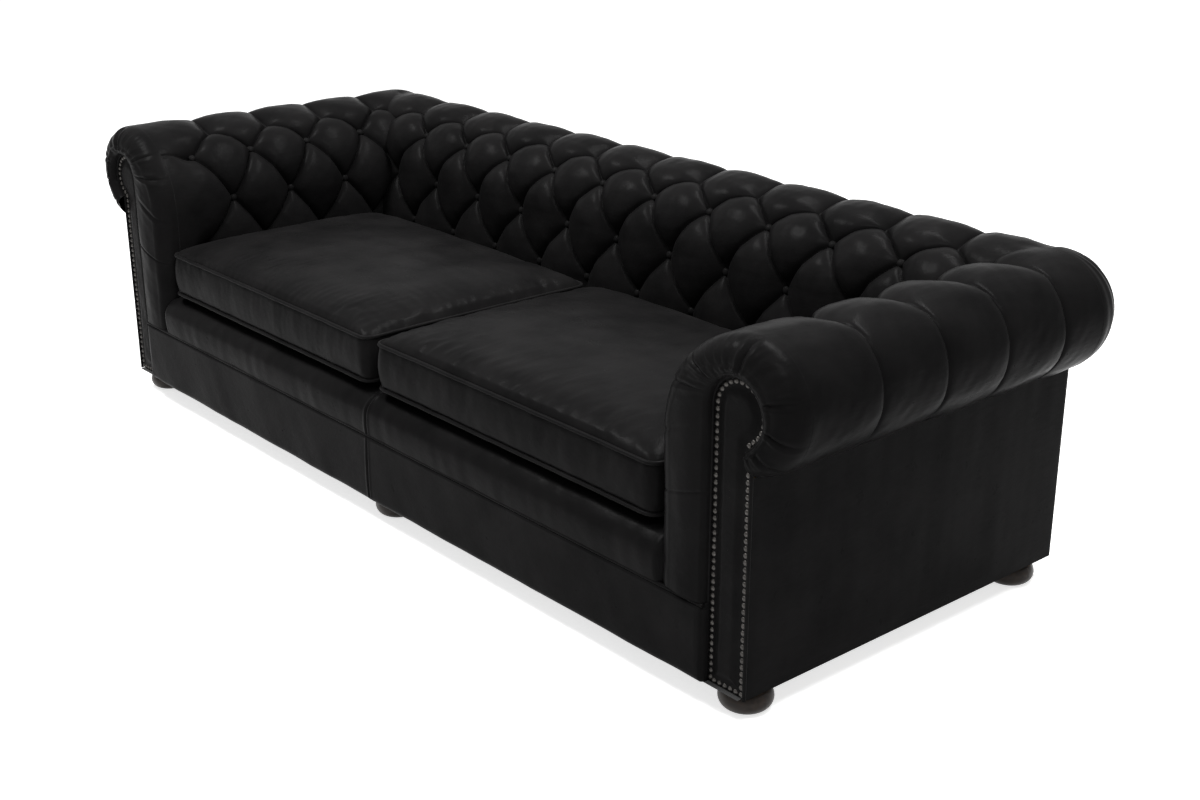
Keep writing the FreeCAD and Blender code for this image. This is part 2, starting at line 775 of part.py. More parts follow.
arm_columns = int(size("arm_tuft_columns"))
arm_stations = tuft_stations(size("arm_first_tuft"), place("arm_tuft_pitch"), arm_columns,
                             arm_pad_start, arm_pad_end)
arm_sections = [tufted_section(ARM, ARM_FOAM, arm_space(along), phase, fade)
                for along, phase, fade in arm_stations]
arm_buttons = []
for number in range(arm_columns):
    along = size("arm_first_tuft") + number * place("arm_tuft_pitch") / 2
    row = "high" if number % 2 == 0 else "middle"
    arm_buttons.append(button_and_seat(ARM, row, arm_space(along)))
arm_cover, arm_button_set = tufted_pad("right_arm", arm_sections, arm_buttons)
both_sides(arm_cover, "arm_tufted_cover")
both_sides(arm_button_set, "arm_buttons")

back_count = int(size("back_tuft_count"))
back_columns = 2 * back_count - 1
back_first = -place("back_tuft_span") / 2
back_stations = tuft_stations(back_first, place("back_tuft_pitch"), back_columns,
                              -place("corner_side"), place("corner_side"))
back_sections = [tufted_section(BACK, BACK_FOAM, back_space(along), phase, fade)
                 for along, phase, fade in back_stations]
back_buttons = []
for number in range(back_columns):
    along = back_first + number * place("back_tuft_pitch") / 2
    rows = ("high", "low") if number % 2 == 0 else ("middle",)
    back_buttons += [button_and_seat(BACK, row, back_space(along)) for row in rows]
back_cover, back_button_set = tufted_pad("back", back_sections, back_buttons)
keep(back_cover, "back_tufted_cover")
keep(back_button_set, "back_buttons")


# Corner pads: the arm and the back run into each other, and the roll turns round the corner post

arm_full_face = closed_face(outer_edges(ARM, arm_space(arm_pad_end)), arm_space(arm_pad_end),
                            frame_side_corners(ARM))
arm_run = prism(arm_full_face, (0, 1, 0), size("back_wall") - size("back_roll_inset"))
back_end_space = back_space(place("corner_side"))
back_full_face = closed_face(outer_edges(BACK, back_end_space), back_end_space, frame_side_corners(BACK))
back_run = prism(back_full_face, (1, 0, 0), size("arm_wall") - size("arm_roll_inset"))
roll_end = right_arm_point(ARM.centre, size("body_depth") - size("back_roll_inset"))
turn_face = Part.Face(Part.Wire([
    line(roll_end - UP * size("roll_radius"), roll_end + UP * size("roll_radius")),
    arc(roll_end + UP * size("roll_radius"), roll_end + Vector(size("roll_radius"), 0, 0),
        roll_end - UP * size("roll_radius")),
]))
roll_turn = turn_face.revolve(roll_end, UP, 90)


def frame_block(low, high, level_low, level_high):
    """A box given by two corners in plan and two levels."""
    size_x, size_y = high[0] - low[0], high[1] - low[1]
    base = Vector(low[0], low[1], place("under") + level_low)
    return Part.makeBox(size_x, size_y, level_high - level_low, base)


frame_top_level = place("top_rail_top") - place("under")
outer_x = place("half_length") - size("panel_thickness")
outer_y = place("rear") - size("panel_thickness")
arm_frame_zone = frame_block((place("half_length") - place("webbing_inner"), place("corner_front")),
                             (outer_x, outer_y), 0, frame_top_level)
back_frame_zone = frame_block((place("corner_side"), place("rear") - place("webbing_inner")),
                              (outer_x, outer_y), 0, frame_top_level)
under_turn = frame_block((roll_end.x, roll_end.y), (place("half_length"), place("rear")), 0,
                         size("roll_centre_height") - size("roll_radius") / 2)
corner_pad = arm_run.fuse([back_run, roll_turn]).cut([arm_frame_zone, back_frame_zone, under_turn])
both_sides(shaped("right_corner_pad", corner_pad.removeSplitter()), "corner_pad")


# Padded border round the facing panel, its front edge rounded over onto the arm, ending above the rail's welt

border_start = -size("front_proud")
border_depth = size("front_proud") + arm_pad_start
border_space = arm_space(border_start)
border_low_level = size("rail_height") + place("welt_half_room")
border_low = (size("arm_wall"), border_low_level)
inner_low = (place("facing_inner"), border_low_level)
border_outline = outer_edges(ARM, border_space)
border_outline[0] = line(border_space(border_low), border_space(ARM.tangent))
border_face = closed_face(border_outline, border_space, [
    ARM.under, (place("facing_inner"), ARM.under[1]), inner_low, border_low])
border_block = prism(border_face, (0, 1, 0), border_depth)


def is_front_round(edge):
    """True for the front edges of the border that are padded over: the wall, the crest and the roll."""
    points = [edge.valueAt(edge.FirstParameter + (edge.LastParameter - edge.FirstParameter) * share)
              for share in (0.0, 0.5, 1.0)]
    if any(abs(point.y - place("proud")) > SAME_PLACE for point in points):
        return False
    middle = points[1]
    inset = place("half_length") - middle.x
    level = middle.z - place("under")
    if edge.Curve.TypeId == "Part::GeomCircle":
        return True
    return abs(inset - size("arm_wall")) < SAME_PLACE and level > border_low_level


front_rounds = [edge for edge in border_block.Edges if is_front_round(edge)]
border_block = border_block.makeFillet(size("border_round"), front_rounds)
keyhole_faces = [face for face in facing_panel.Shape.Faces
                 if abs(face.CenterOfMass.y - place("front")) < SAME_PLACE]
facing_prism = keyhole_faces[0].extrude(Vector(0, border_depth, 0))
facing_prism.translate(Vector(0, -size("front_proud"), 0))
border_solid = border_block.cut(facing_prism)
both_sides(shaped("right_arm_front_border", border_solid.removeSplitter()), "arm_front_border")


# Nails round the facing panel


def nail_route():
    """The outline that the nails follow, as a wire on the face of the facing panel."""
    inset = size("nail_inset")
    radius = size("facing_head_radius") - inset
    inner = place("facing_inner") - inset
    outer = size("panel_thickness") + inset
    head = (place("facing_inner") - size("facing_head_radius"), place("facing_head_level"))
    neck_drop = math.sqrt(radius ** 2 - (head[0] - outer) ** 2)
    low = size("dust_cover_thickness") + inset
    tail = math.degrees(math.atan2(-neck_drop, outer - head[0])) % 360
    space = arm_space(0)
    top = on_circle(head, radius, 90)
    side = on_circle(head, radius, (90 + tail) / 2)
    start_arc = on_circle(head, radius, 0)
    shoulder = on_circle(head, radius, 45)
    end_arc = (outer, head[1] - neck_drop)
    return Part.Wire([
        line(space((outer, low)), space((inner, low))),
        line(space((inner, low)), space(start_arc)),
        arc(space(start_arc), space(shoulder), space(top)),
        arc(space(top), space(side), space(end_arc)),
        line(space(end_arc), space((outer, low))),
    ])


route = nail_route()
nail_count = int(route.Length / size("nail_pitch"))
nail_spots = route.discretize(Number=nail_count + 1)[:-1]
nails = [dome(spot, Vector(0, -1, 0), size("nail_radius"), size("nail_height")) for spot in nail_spots]
both_sides(shaped("right_facing_nails", Part.makeCompound(nails)), "facing_nails")


# Outer panels, front rail cover and dust cover

side_panel_height = ARM.under[1]
both_sides(box("right_outer_panel",
               (f"{half} - {panel}", "Places.front", "Places.under"),
               (half, "Places.rear", f"Places.under + {side_panel_height}")), "outer_panel")
rear_panel_height = BACK.under[1]
keep(box("rear_outer_panel",
         (f"-({half} - {panel})", f"Places.rear - {panel}", "Places.under"),
         (f"{half} - {panel}", "Places.rear", f"Places.under + {rear_panel_height}")), "rear_outer_panel")

keep(box("front_rail_border",
         (f"-({front_rail_end})", "Places.proud", "Places.under"),
         (front_rail_end, "Places.rail_front", "Places.rail_top - Places.welt_half_room")),
     "front_rail_border")

rail_welt = doc.addObject("Part::Cylinder", "front_rail_welt")
rail_welt.setExpression("Radius", "Sizes.welt_radius")
rail_welt.setExpression("Height", f"2 * ({front_rail_end})")
rail_welt.Placement.Rotation = FreeCAD.Rotation(Vector(0, 1, 0), 90)
rail_welt.setExpression("Placement.Base.x", f"-({front_rail_end})")
rail_welt.setExpression("Placement.Base.y", "Places.proud + Sizes.welt_radius")
rail_welt.setExpression("Placement.Base.z", "Places.rail_top")
keep(rail_welt, "front_rail_welt")


def lip_face():
    """The section of the padded lip: upright front, rounded top edge, flat top, and room for the welt."""
    radius = size("lip_round")
    start = -place("corner_side")
    low = place("rail_top")
    welt_top = low + place("welt_half_room")
    top = low + size("lip_height")
    front = place("proud")
    welt_rear = front + place("welt_room")
    rear = place("lip_rear")
    turn = radius * (1 - math.sqrt(0.5))
    corners = [(front, welt_top), (front, top - radius), (front + radius, top), (rear, top), (rear, low),
               (welt_rear, low), (welt_rear, welt_top)]
    marks = [Vector(start, across, height) for across, height in corners]
    edges = [line(first, second) for first, second in zip(marks, marks[1:] + marks[:1])]
    edges[1] = arc(marks[1], Vector(start, front + turn, top - turn), marks[2])
    return Part.Face(Part.Wire(edges))


lip_solid = prism(lip_face(), (1, 0, 0), 2 * place("corner_side"))
keep(shaped("front_rail_lip", lip_solid), "front_rail_lip")

dust_holes = group("dust_cover_holes",
                   [bolt(f"dust_hole_{n}", spot) for n, spot in enumerate(bolt_places + middle_places)])
dust_sheet = box("dust_sheet",
                 ("-(Places.half_length - Sizes.dust_cover_margin)", "Places.rail_front", "Places.under"),
                 ("Places.half_length - Sizes.dust_cover_margin", "Places.rear - Sizes.dust_cover_margin",
                  "Places.frame_low"))
keep(cut("dust_cover", dust_sheet, dust_holes), "dust_cover")


# Feet, bolts and glides


def bun_foot():
    """A turned bun foot about the origin, its top face at height zero."""
    neck = size("foot_neck_radius")
    widest = size("foot_radius")
    base = size("foot_base_radius")
    bottom = -(size("foot_height") - size("glide_height"))
    shoulder = -size("foot_neck_height")
    belly = (shoulder + bottom) / 2 + size("foot_belly_rise")
    profile = Part.Face(Part.Wire([
        line(Vector(0, 0, 0), Vector(neck, 0, 0)),
        line(Vector(neck, 0, 0), Vector(neck, 0, shoulder)),
        arc(Vector(neck, 0, shoulder), Vector(widest, 0, belly), Vector(base, 0, bottom)),
        line(Vector(base, 0, bottom), Vector(0, 0, bottom)),
        line(Vector(0, 0, bottom), Vector(0, 0, 0)),
    ]))
    solid = profile.revolve(Vector(0, 0, 0), UP, 360)
    reach = size("bolt_reach_down")
    return solid.cut(Part.makeCylinder(size("bolt_radius"), reach, Vector(0, 0, -reach)))


def feet_at(name, spots):
    solids = []
    for spot in spots:
        foot = bun_foot()
        foot.translate(Vector(spot[0], spot[1], place("under")))
        solids.append(foot)
    return keep(shaped(name, Part.makeCompound(solids)), name)


side = place("foot_side")
front_spots = [(-side, place("foot_front")), (0, place("foot_front")), (side, place("foot_front"))]
rear_spots = [(-side, place("foot_rear")), (0, place("foot_rear")), (side, place("foot_rear"))]
feet_at("front_feet", front_spots)
feet_at("rear_feet", rear_spots)
keep(group("foot_bolts",
           [bolt(f"foot_bolt_{n}", spot) for n, spot in enumerate(bolt_places + middle_places)]), "foot_bolts")
glides = [Part.makeCylinder(size("glide_radius"), size("glide_height"), Vector(spot[0], spot[1], 0))
          for spot in front_spots + rear_spots]
keep(shaped("foot_glides", Part.makeCompound(glides)), "foot_glides")


# Seat cushions


def rounded_loop(level, inset, front_grow=0.0):
    """A level outline of the cushion, its corners rounded, drawn in by an inset."""
    start = size("seat_clearance") / 2 + inset
    end = place("cushion_end") - inset
    front = place("cushion_front") + inset - front_grow
    rear = place("cushion_rear") - inset
    corner = size("cushion_corner") - inset
    turn = corner * (1 - math.sqrt(0.5))
    loop = []
    marks = [
        (Vector(start + corner, front, level), Vector(end - corner, front, level),
         Vector(end - turn, front + turn, level), Vector(end, front + corner, level)),
        (Vector(end, front + corner, level), Vector(end, rear - corner, level),
         Vector(end - turn, rear - turn, level), Vector(end - corner, rear, level)),
        (Vector(end - corner, rear, level), Vector(start + corner, rear, level),
         Vector(start + turn, rear - turn, level), Vector(start, rear - corner, level)),
        (Vector(start, rear - corner, level), Vector(start, front + corner, level),
         Vector(start + turn, front + turn, level), Vector(start + corner, front, level)),
    ]
    for first, second, middle, third in marks:
        loop.append(line(first, second))
        loop.append(arc(second, middle, third))
    return Part.Wire(loop)


CROWN_STEPS = 12


def crown_form(skin):
    """The crowned top of a cushion: highest in the middle, low towards its ends."""
    drawn_in = place("welt_room") + skin
    start = size("seat_clearance") / 2 + drawn_in
    length = place("cushion_end") - drawn_in - start
    front = place("cushion_front") + drawn_in
    rear = place("cushion_rear") - drawn_in
    level = place("cushion_low") + size("cushion_side") - skin
    corner = size("cushion_corner") - place("welt_room")
    sections = []
    for step in range(CROWN_STEPS + 1):
        across = -math.cos(math.pi * step / CROWN_STEPS)
        spot = length * (1 + across) / 2
        from_end = max(0.0, min(spot, length - spot, corner))
        inset = corner - math.sqrt(corner ** 2 - (corner - from_end) ** 2)
        extra = size("cushion_crown") - size("cushion_end_crown")
        rise = size("cushion_end_crown") + extra * (1 - across ** 4)
        near = Vector(start + spot, front + inset, level)
        far = Vector(start + spot, rear - inset, level)
        top = (near + far) / 2 + UP * rise
        sections.append(Part.Wire([line(near, far), arc(far, top, near)]))
    return Part.makeLoft(sections, True, True)


def cushion_form(skin):
    """A cushion from the middle of the sofa to the right arm, smaller all round by a skin."""
    low = place("cushion_low") + skin
    side_low = low + place("welt_room")
    side_top = place("cushion_low") + size("cushion_side") - skin
    base = Part.Face(rounded_loop(low, place("welt_room") + skin)).extrude(UP * place("welt_room"))
    sides = Part.makeLoft([
        rounded_loop(side_low, skin),
        rounded_loop((side_low + side_top) / 2, skin, size("cushion_front_bulge")),
        rounded_loop(side_top, skin),
    ], True, False)
    return sides.fuse([base, crown_form(skin)])


def welt_ring(level):
    """A welt that runs round the cushion behind its edge."""
    radius = size("welt_radius")
    path = rounded_loop(level, radius)
    first = path.Edges[0].Vertexes[0].Point
    ring = Part.Wire(Part.makeCircle(radius, first, Vector(1, 0, 0)))
    return swept(path, ring, False)


outer_form = cushion_form(0)
core_form = cushion_form(size("cushion_skin"))
low_welt = welt_ring(place("cushion_low") + size("welt_radius"))
top_welt = welt_ring(place("cushion_low") + size("cushion_side") + place("welt_half_room"))
zip_low = Vector(place("cushion_end") / 2 - size("zip_length") / 2, place("cushion_rear"),
                 place("cushion_low") + size("cushion_side") / 2 - size("zip_width") / 2)
zip_solid = Part.makeBox(size("zip_length"), size("zip_thickness"), size("zip_width"), zip_low)
both_sides(shaped("right_cushion_core", core_form), "cushion_core")
both_sides(shaped("right_cushion_cover", outer_form.cut(core_form)), "cushion_cover")
both_sides(shaped("right_cushion_welts", Part.makeCompound([top_welt, low_welt])), "cushion_welts")
both_sides(shaped("right_cushion_zip", zip_solid), "cushion_zip")


doc.recompute()

# Every object has to be sound before anything is written
for item in doc.Objects:
    for state in item.State:
        if state in ("Invalid", "Error"):
            raise RuntimeError(f"{item.Label} is {state}")
names = [item.Label for item in pieces]
if len(names) != len(set(names)):
    raise RuntimeError("two pieces share a name")
os.makedirs("parts", exist_ok=True)
for item in pieces:
    if item.Shape.isNull() or not item.Shape.isValid():
        raise RuntimeError(f"{item.Label} has no sound shape")
    if not item.Shape.Solids or item.Shape.Volume <= 0:
        raise RuntimeError(f"{item.Label} holds no solid")
for item in pieces:
    item.Shape.exportStep(f"parts/{item.Label}.step")
print(len(pieces), "pieces written")
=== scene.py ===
import json
import math

import bpy
import numpy as np
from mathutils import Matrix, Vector
from mathutils.bvhtree import BVHTree


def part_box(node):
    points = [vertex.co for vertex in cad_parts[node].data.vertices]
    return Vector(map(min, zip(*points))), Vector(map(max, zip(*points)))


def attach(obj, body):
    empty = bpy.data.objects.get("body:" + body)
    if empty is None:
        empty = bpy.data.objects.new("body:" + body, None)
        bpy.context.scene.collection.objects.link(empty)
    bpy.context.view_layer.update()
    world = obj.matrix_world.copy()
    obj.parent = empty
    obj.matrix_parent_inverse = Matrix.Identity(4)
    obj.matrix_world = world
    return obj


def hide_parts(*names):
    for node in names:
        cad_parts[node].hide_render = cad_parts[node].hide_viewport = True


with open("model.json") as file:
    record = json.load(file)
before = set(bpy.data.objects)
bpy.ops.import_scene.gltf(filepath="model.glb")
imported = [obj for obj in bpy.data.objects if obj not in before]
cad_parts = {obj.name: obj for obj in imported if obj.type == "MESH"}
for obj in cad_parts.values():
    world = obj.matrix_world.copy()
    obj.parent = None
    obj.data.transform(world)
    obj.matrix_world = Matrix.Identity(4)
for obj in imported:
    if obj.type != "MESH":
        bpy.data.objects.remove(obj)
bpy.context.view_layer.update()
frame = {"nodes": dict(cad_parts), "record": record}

# Places read from the frame, in metres. The sofa faces -Y, its length runs along X.
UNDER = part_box("dust_cover")[0].z
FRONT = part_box("right_facing_panel")[0].y
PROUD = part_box("front_rail_border")[0].y
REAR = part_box("right_outer_panel")[1].y
HALF_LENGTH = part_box("right_outer_panel")[1].x
PANEL = HALF_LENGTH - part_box("right_outer_panel")[0].x
RAIL_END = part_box("front_rail_border")[1].x
LIP_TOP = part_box("front_rail_lip")[1].z
PAD_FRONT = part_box("right_arm_tufted_cover")[0].y
SEAT_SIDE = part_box("right_corner_pad")[0].x
SEAT_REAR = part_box("right_corner_pad")[0].y
PAD_LOW_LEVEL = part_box("back_foam")[0].z - UNDER

# The roll of arms and back, and how far the leather runs round it from its top
UNDER_TURN = math.radians(169)
ROLL_RADIUS = 0.124
ROLL_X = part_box("right_corner_pad")[1].x - ROLL_RADIUS
ROLL_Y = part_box("right_corner_pad")[1].y - ROLL_RADIUS
ROLL_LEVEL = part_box("right_corner_pad")[1].z - ROLL_RADIUS - UNDER
ARM_CREST = ROLL_X - SEAT_SIDE
BACK_CREST = 0.170

# Tufting: rows from low to top along the padded face, columns half a pitch apart
ROWS = np.array([0.179, 0.292, 0.440, 0.528])
ROW_DEPTHS = np.array([0.036, 0.043, 0.040, 0.036])
ARM_HALF_PITCH = 0.087
ARM_FIRST_TUFT = 0.130
BACK_HALF_PITCH = 0.094
FOLD_RISE = 0.42
PILLOW_FULLNESS = 2.1
SLIT_DEPTH = 0.0035
SLIT_WIDTH = 0.0022
CELL_STEPS = 30
BUTTON_RADIUS = 0.0095
BUTTON_HEIGHT = 0.0065
# Share of a tuft's depth at which its button sits, and where the buttons end along arm and back
BUTTON_SEAT = 0.84
ARM_BUTTON_END = 0.66
BACK_BUTTON_END = 0.9

# Where the pillows fade out: past the top row, below the low row and past the first column
TOP_FADE = (-0.02, 0.15)
LOW_FADE = 0.09
LOW_FADE_SHARE = 0.8
END_FADE = 0.08

# Pleats over the roll, the fullness between them, and the pleat that runs forward on an arm
PLEAT_DEPTH = 0.0042
PLEAT_WIDTH = 0.0035
LOBE_DEPTH = 0.0045
FORWARD_DEPTH = 0.0045
FORWARD_WIDTH = 0.004

# Puckers: how far round a button they reach, their depth and how many each wave has
PUCKER_REACH = 0.07
PUCKER_DEPTH = 0.00095
PUCKER_COUNTS = (9, 13, 17)


def smooth(low, high, value):
    """From 0 at low to 1 at high, with no corners."""
    share = np.clip((value - low) / (high - low), 0, 1)
    return share * share * (3 - 2 * share)


def wave_noise(points, scale, seed, octaves=3):
    """Smooth noise of about -1 to 1 made of turned sine waves, from an (..., 3) array of points."""
    draw = np.random.default_rng(seed)
    total = np.zeros(points.shape[:-1])
    weight = 0.0
    for octave in range(octaves):
        for _ in range(5):
            direction = draw.normal(size=3)
            direction *= 2 * math.pi / scale * 2 ** octave / np.linalg.norm(direction)
            total += np.sin(points @ direction + draw.uniform(0, 2 * math.pi)) / 2 ** octave
        weight += 5 / 2 ** octave
    return total / weight * 2.2


def evenly_spaced(line, count, endpoint=True):
    """Points at even steps along a line of points in a plane."""
    run = np.concatenate([[0], np.cumsum(np.hypot(*np.diff(line, axis=0).T))])
    even = np.linspace(0, run[-1], count, endpoint=endpoint)
    return np.stack([np.interp(even, run, line[:, 0]), np.interp(even, run, line[:, 1])], axis=-1)


# Mesh helpers


def mesh_piece(name, points, faces, material, smooth_shade=True):
    mesh = bpy.data.meshes.new(name)
    mesh.from_pydata([tuple(point) for point in points], [], [tuple(face) for face in faces])
    mesh.validate()
    mesh.update()
    if smooth_shade:
        mesh.polygons.foreach_set("use_smooth", [True] * len(mesh.polygons))
    piece = bpy.data.objects.new(name, mesh)
    bpy.context.scene.collection.objects.link(piece)
    mesh.materials.append(material)
    return piece


def grid_faces(rows, columns, close_rows=False, close_columns=False, flip=False):
    """Quads of a grid whose points are numbered row by row."""
    row_index = np.arange(rows if close_rows else rows - 1)
    column_index = np.arange(columns if close_columns else columns - 1)
    row_grid, column_grid = np.meshgrid(row_index, column_index, indexing="ij")
    next_row = (row_grid + 1) % rows
    next_column = (column_grid + 1) % columns
    corners = [row_grid * columns + column_grid, row_grid * columns + next_column,
               next_row * columns + next_column, next_row * columns + column_grid]
    if flip:
        corners = corners[::-1]
    return np.stack([corner.ravel() for corner in corners], axis=1)


def grid_piece(name, grid, material, **options):
    """A piece from an array of rows x columns x 3."""
    rows, columns = grid.shape[:2]
    return mesh_piece(name, grid.reshape(-1, 3), grid_faces(rows, columns, **options), material)


def joined_piece(name, parts, material):
    """One piece from several (points, faces) pairs."""
    points = []
    faces = []
    for part_points, part_faces in parts:
        faces += [tuple(index + len(points) for index in face) for face in part_faces]
        points += [tuple(point) for point in part_points]
    return mesh_piece(name, points, faces, material)


def finish_piece(piece, body, slot, *nodes):
    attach(piece, body)
    if nodes:
        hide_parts(*nodes)


def leather_piece(name, grid, node, flip=False):
    """A piece of the sofa's leather in place of a node."""
    piece = grid_piece(name, grid, LEATHER, flip=flip)
    finish_piece(piece, "sofa_body", "leather", node)


# Materials


def new_material(name):
    material = bpy.data.materials.new(name)
    material.use_nodes = True
    nodes = material.node_tree.nodes
    return material, nodes, material.node_tree.links, nodes["Principled BSDF"]


def noise_node(nodes, links, scale, detail=4.0, roughness=0.55, stretch=None):
    coordinates = nodes.new("ShaderNodeTexCoord")
    mapping = nodes.new("ShaderNodeMapping")
    if stretch:
        mapping.inputs["Scale"].default_value = stretch
    noise = nodes.new("ShaderNodeTexNoise")
    noise.inputs["Scale"].default_value = scale
    noise.inputs["Detail"].default_value = detail
    noise.inputs["Roughness"].default_value = roughness
    links.new(coordinates.outputs["Object"], mapping.inputs["Vector"])
    links.new(mapping.outputs["Vector"], noise.inputs["Vector"])
    return noise.outputs["Fac"]


def cell_node(nodes, links, scale, feature="DISTANCE_TO_EDGE"):
    coordinates = nodes.new("ShaderNodeTexCoord")
    cells = nodes.new("ShaderNodeTexVoronoi")
    cells.feature = feature
    cells.inputs["Scale"].default_value = scale
    links.new(coordinates.outputs["Object"], cells.inputs["Vector"])
    return cells.outputs["Distance"]


def ramp(nodes, links, source, stops):
    node = nodes.new("ShaderNodeValToRGB")
    node.color_ramp.elements[0].position = stops[0][0]
    node.color_ramp.elements[0].color = (*stops[0][1], 1)
    node.color_ramp.elements[1].position = stops[-1][0]
    node.color_ramp.elements[1].color = (*stops[-1][1], 1)
    for position, colour in stops[1:-1]:
        node.color_ramp.elements.new(position).color = (*colour, 1)
    links.new(source, node.inputs["Fac"])
    return node.outputs["Color"]


def remap(nodes, links, source, low, high):
    node = nodes.new("ShaderNodeMapRange")
    node.inputs["To Min"].default_value = low
    node.inputs["To Max"].default_value = high
    links.new(source, node.inputs["Value"])
    return node.outputs["Result"]


def bump(nodes, links, source, distance, strength=1.0, normal=None):
    node = nodes.new("ShaderNodeBump")
    node.inputs["Distance"].default_value = distance
    node.inputs["Strength"].default_value = strength
    links.new(source, node.inputs["Height"])
    if normal is not None:
        links.new(normal, node.inputs["Normal"])
    return node.outputs["Normal"]


def leather_material(name="sofa_leather", dark=(0.0042, 0.0041, 0.0042), light=(0.0075, 0.0072, 0.0073)):
    """Smooth near-black hide: cloudy colour, fine pebble grain, faint stretch wrinkles."""
    material, nodes, links, shader = new_material(name)
    cloud = noise_node(nodes, links, 9.0, 5.0)
    links.new(ramp(nodes, links, cloud, [(0.3, dark), (0.7, light)]), shader.inputs["Base Color"])
    patch = noise_node(nodes, links, 22.0, 4.0)
    links.new(remap(nodes, links, patch, 0.23, 0.36), shader.inputs["Roughness"])
    shader.inputs["Specular IOR Level"].default_value = 0.009
    wrinkle = bump(nodes, links, noise_node(nodes, links, 60.0, 5.0, 0.6, (1.0, 0.45, 1.7)), 0.0012, 0.5)
    pores = bump(nodes, links, cell_node(nodes, links, 620.0), 0.00012, 0.5, wrinkle)
    links.new(pores, shader.inputs["Normal"])
    return material


def metal_material(name, colour, roughness):
    material, nodes, links, shader = new_material(name)
    spots = noise_node(nodes, links, 180.0, 3.0)
    worn = tuple(min(1.0, channel * 1.9) for channel in colour)
    links.new(ramp(nodes, links, spots, [(0.35, colour), (0.75, worn)]), shader.inputs["Base Color"])
    shader.inputs["Metallic"].default_value = 1.0
    links.new(remap(nodes, links, spots, roughness, roughness + 0.2), shader.inputs["Roughness"])
    links.new(bump(nodes, links, noise_node(nodes, links, 500.0, 3.0), 0.0003, 0.4), shader.inputs["Normal"])
    return material


def wood_material(name, dark, light, roughness, scale=14.0):
    material, nodes, links, shader = new_material(name)
    grain = noise_node(nodes, links, scale, 6.0, 0.62, (0.35, 3.2, 3.2))
    links.new(ramp(nodes, links, grain, [(0.3, dark), (0.72, light)]), shader.inputs["Base Color"])
    links.new(remap(nodes, links, grain, roughness, roughness + 0.15), shader.inputs["Roughness"])
    shader.inputs["Specular IOR Level"].default_value = 0.15
    links.new(bump(nodes, links, grain, 0.0006, 0.4), shader.inputs["Normal"])
    return material


def woven_material(name, dark, light, threads_per_metre):
    """Plain woven cloth: two crossed sets of threads."""
    material, nodes, links, shader = new_material(name)
    coordinates = nodes.new("ShaderNodeTexCoord")
    threads = []
    for direction in ("X", "Y"):
        wave = nodes.new("ShaderNodeTexWave")
        wave.bands_direction = direction
        wave.inputs["Scale"].default_value = threads_per_metre / 20
        wave.inputs["Distortion"].default_value = 1.5
        links.new(coordinates.outputs["Object"], wave.inputs["Vector"])
        threads.append(wave.outputs["Fac"])
    crossed = nodes.new("ShaderNodeMath")
    crossed.operation = "MULTIPLY"
    links.new(threads[0], crossed.inputs[0])
    links.new(threads[1], crossed.inputs[1])
    colour = ramp(nodes, links, crossed.outputs[0], [(0.0, dark), (0.8, light)])
    links.new(colour, shader.inputs["Base Color"])
    shader.inputs["Roughness"].default_value = 0.9
    shader.inputs["Sheen Weight"].default_value = 0.2
    links.new(bump(nodes, links, crossed.outputs[0], 0.0008, 0.6), shader.inputs["Normal"])
    return material


def foam_material():
    material, nodes, links, shader = new_material("foam")
    cells = cell_node(nodes, links, 420.0, "F1")
    links.new(ramp(nodes, links, cells, [(0.1, (0.75, 0.68, 0.45)), (0.8, (0.88, 0.82, 0.6))]),
              shader.inputs["Base Color"])
    shader.inputs["Roughness"].default_value = 0.95
    links.new(bump(nodes, links, cells, 0.001, 0.5), shader.inputs["Normal"])
    return material


def plastic_material(name, colour):
    material, nodes, links, shader = new_material(name)
    speck = noise_node(nodes, links, 300.0, 3.0)
    lighter = tuple(channel * 1.5 for channel in colour)
    links.new(ramp(nodes, links, speck, [(0.3, colour), (0.8, lighter)]), shader.inputs["Base Color"])
    links.new(remap(nodes, links, speck, 0.45, 0.6), shader.inputs["Roughness"])
    links.new(bump(nodes, links, speck, 0.0002, 0.4), shader.inputs["Normal"])
    return material


LEATHER = leather_material()
WELT_LEATHER = leather_material("welt_leather", (0.005, 0.0049, 0.005), (0.009, 0.0087, 0.0088))
DECK_CLOTH = woven_material("deck_cloth", (0.012, 0.012, 0.012), (0.035, 0.035, 0.035), 1400)

SLOT_MATERIALS = {
    "leather": LEATHER,
    "nail_metal": metal_material("nail_metal", (0.035, 0.033, 0.031), 0.3),
    "spring_steel": metal_material("spring_steel", (0.42, 0.42, 0.42), 0.35),
    "zip_metal": metal_material("zip_metal", (0.15, 0.13, 0.11), 0.35),
    "frame_timber": wood_material("frame_timber", (0.45, 0.3, 0.16), (0.68, 0.5, 0.31), 0.65),
    "foot_wood": wood_material("foot_wood", (0.008, 0.006, 0.005), (0.022, 0.015, 0.011), 0.28, 30.0),
    "jute": woven_material("jute", (0.3, 0.21, 0.11), (0.55, 0.42, 0.25), 500),
    "burlap": woven_material("burlap", (0.26, 0.18, 0.1), (0.5, 0.38, 0.22), 700),
    "deck_cloth": DECK_CLOTH,
    "dust_cloth": woven_material("dust_cloth", (0.008, 0.008, 0.008), (0.025, 0.025, 0.025), 1800),
    "foam": foam_material(),
    "glide_plastic": plastic_material("glide_plastic", (0.04, 0.04, 0.04)),
}
for part in frame["record"]["subparts"]:
    node = frame["nodes"][part["node"]]
    node.data.materials.clear()
    node.data.materials.append(SLOT_MATERIALS[part["material_slot"]])


# The padded section. Reach runs from the roll's centre line towards the seat, level up from the underside.


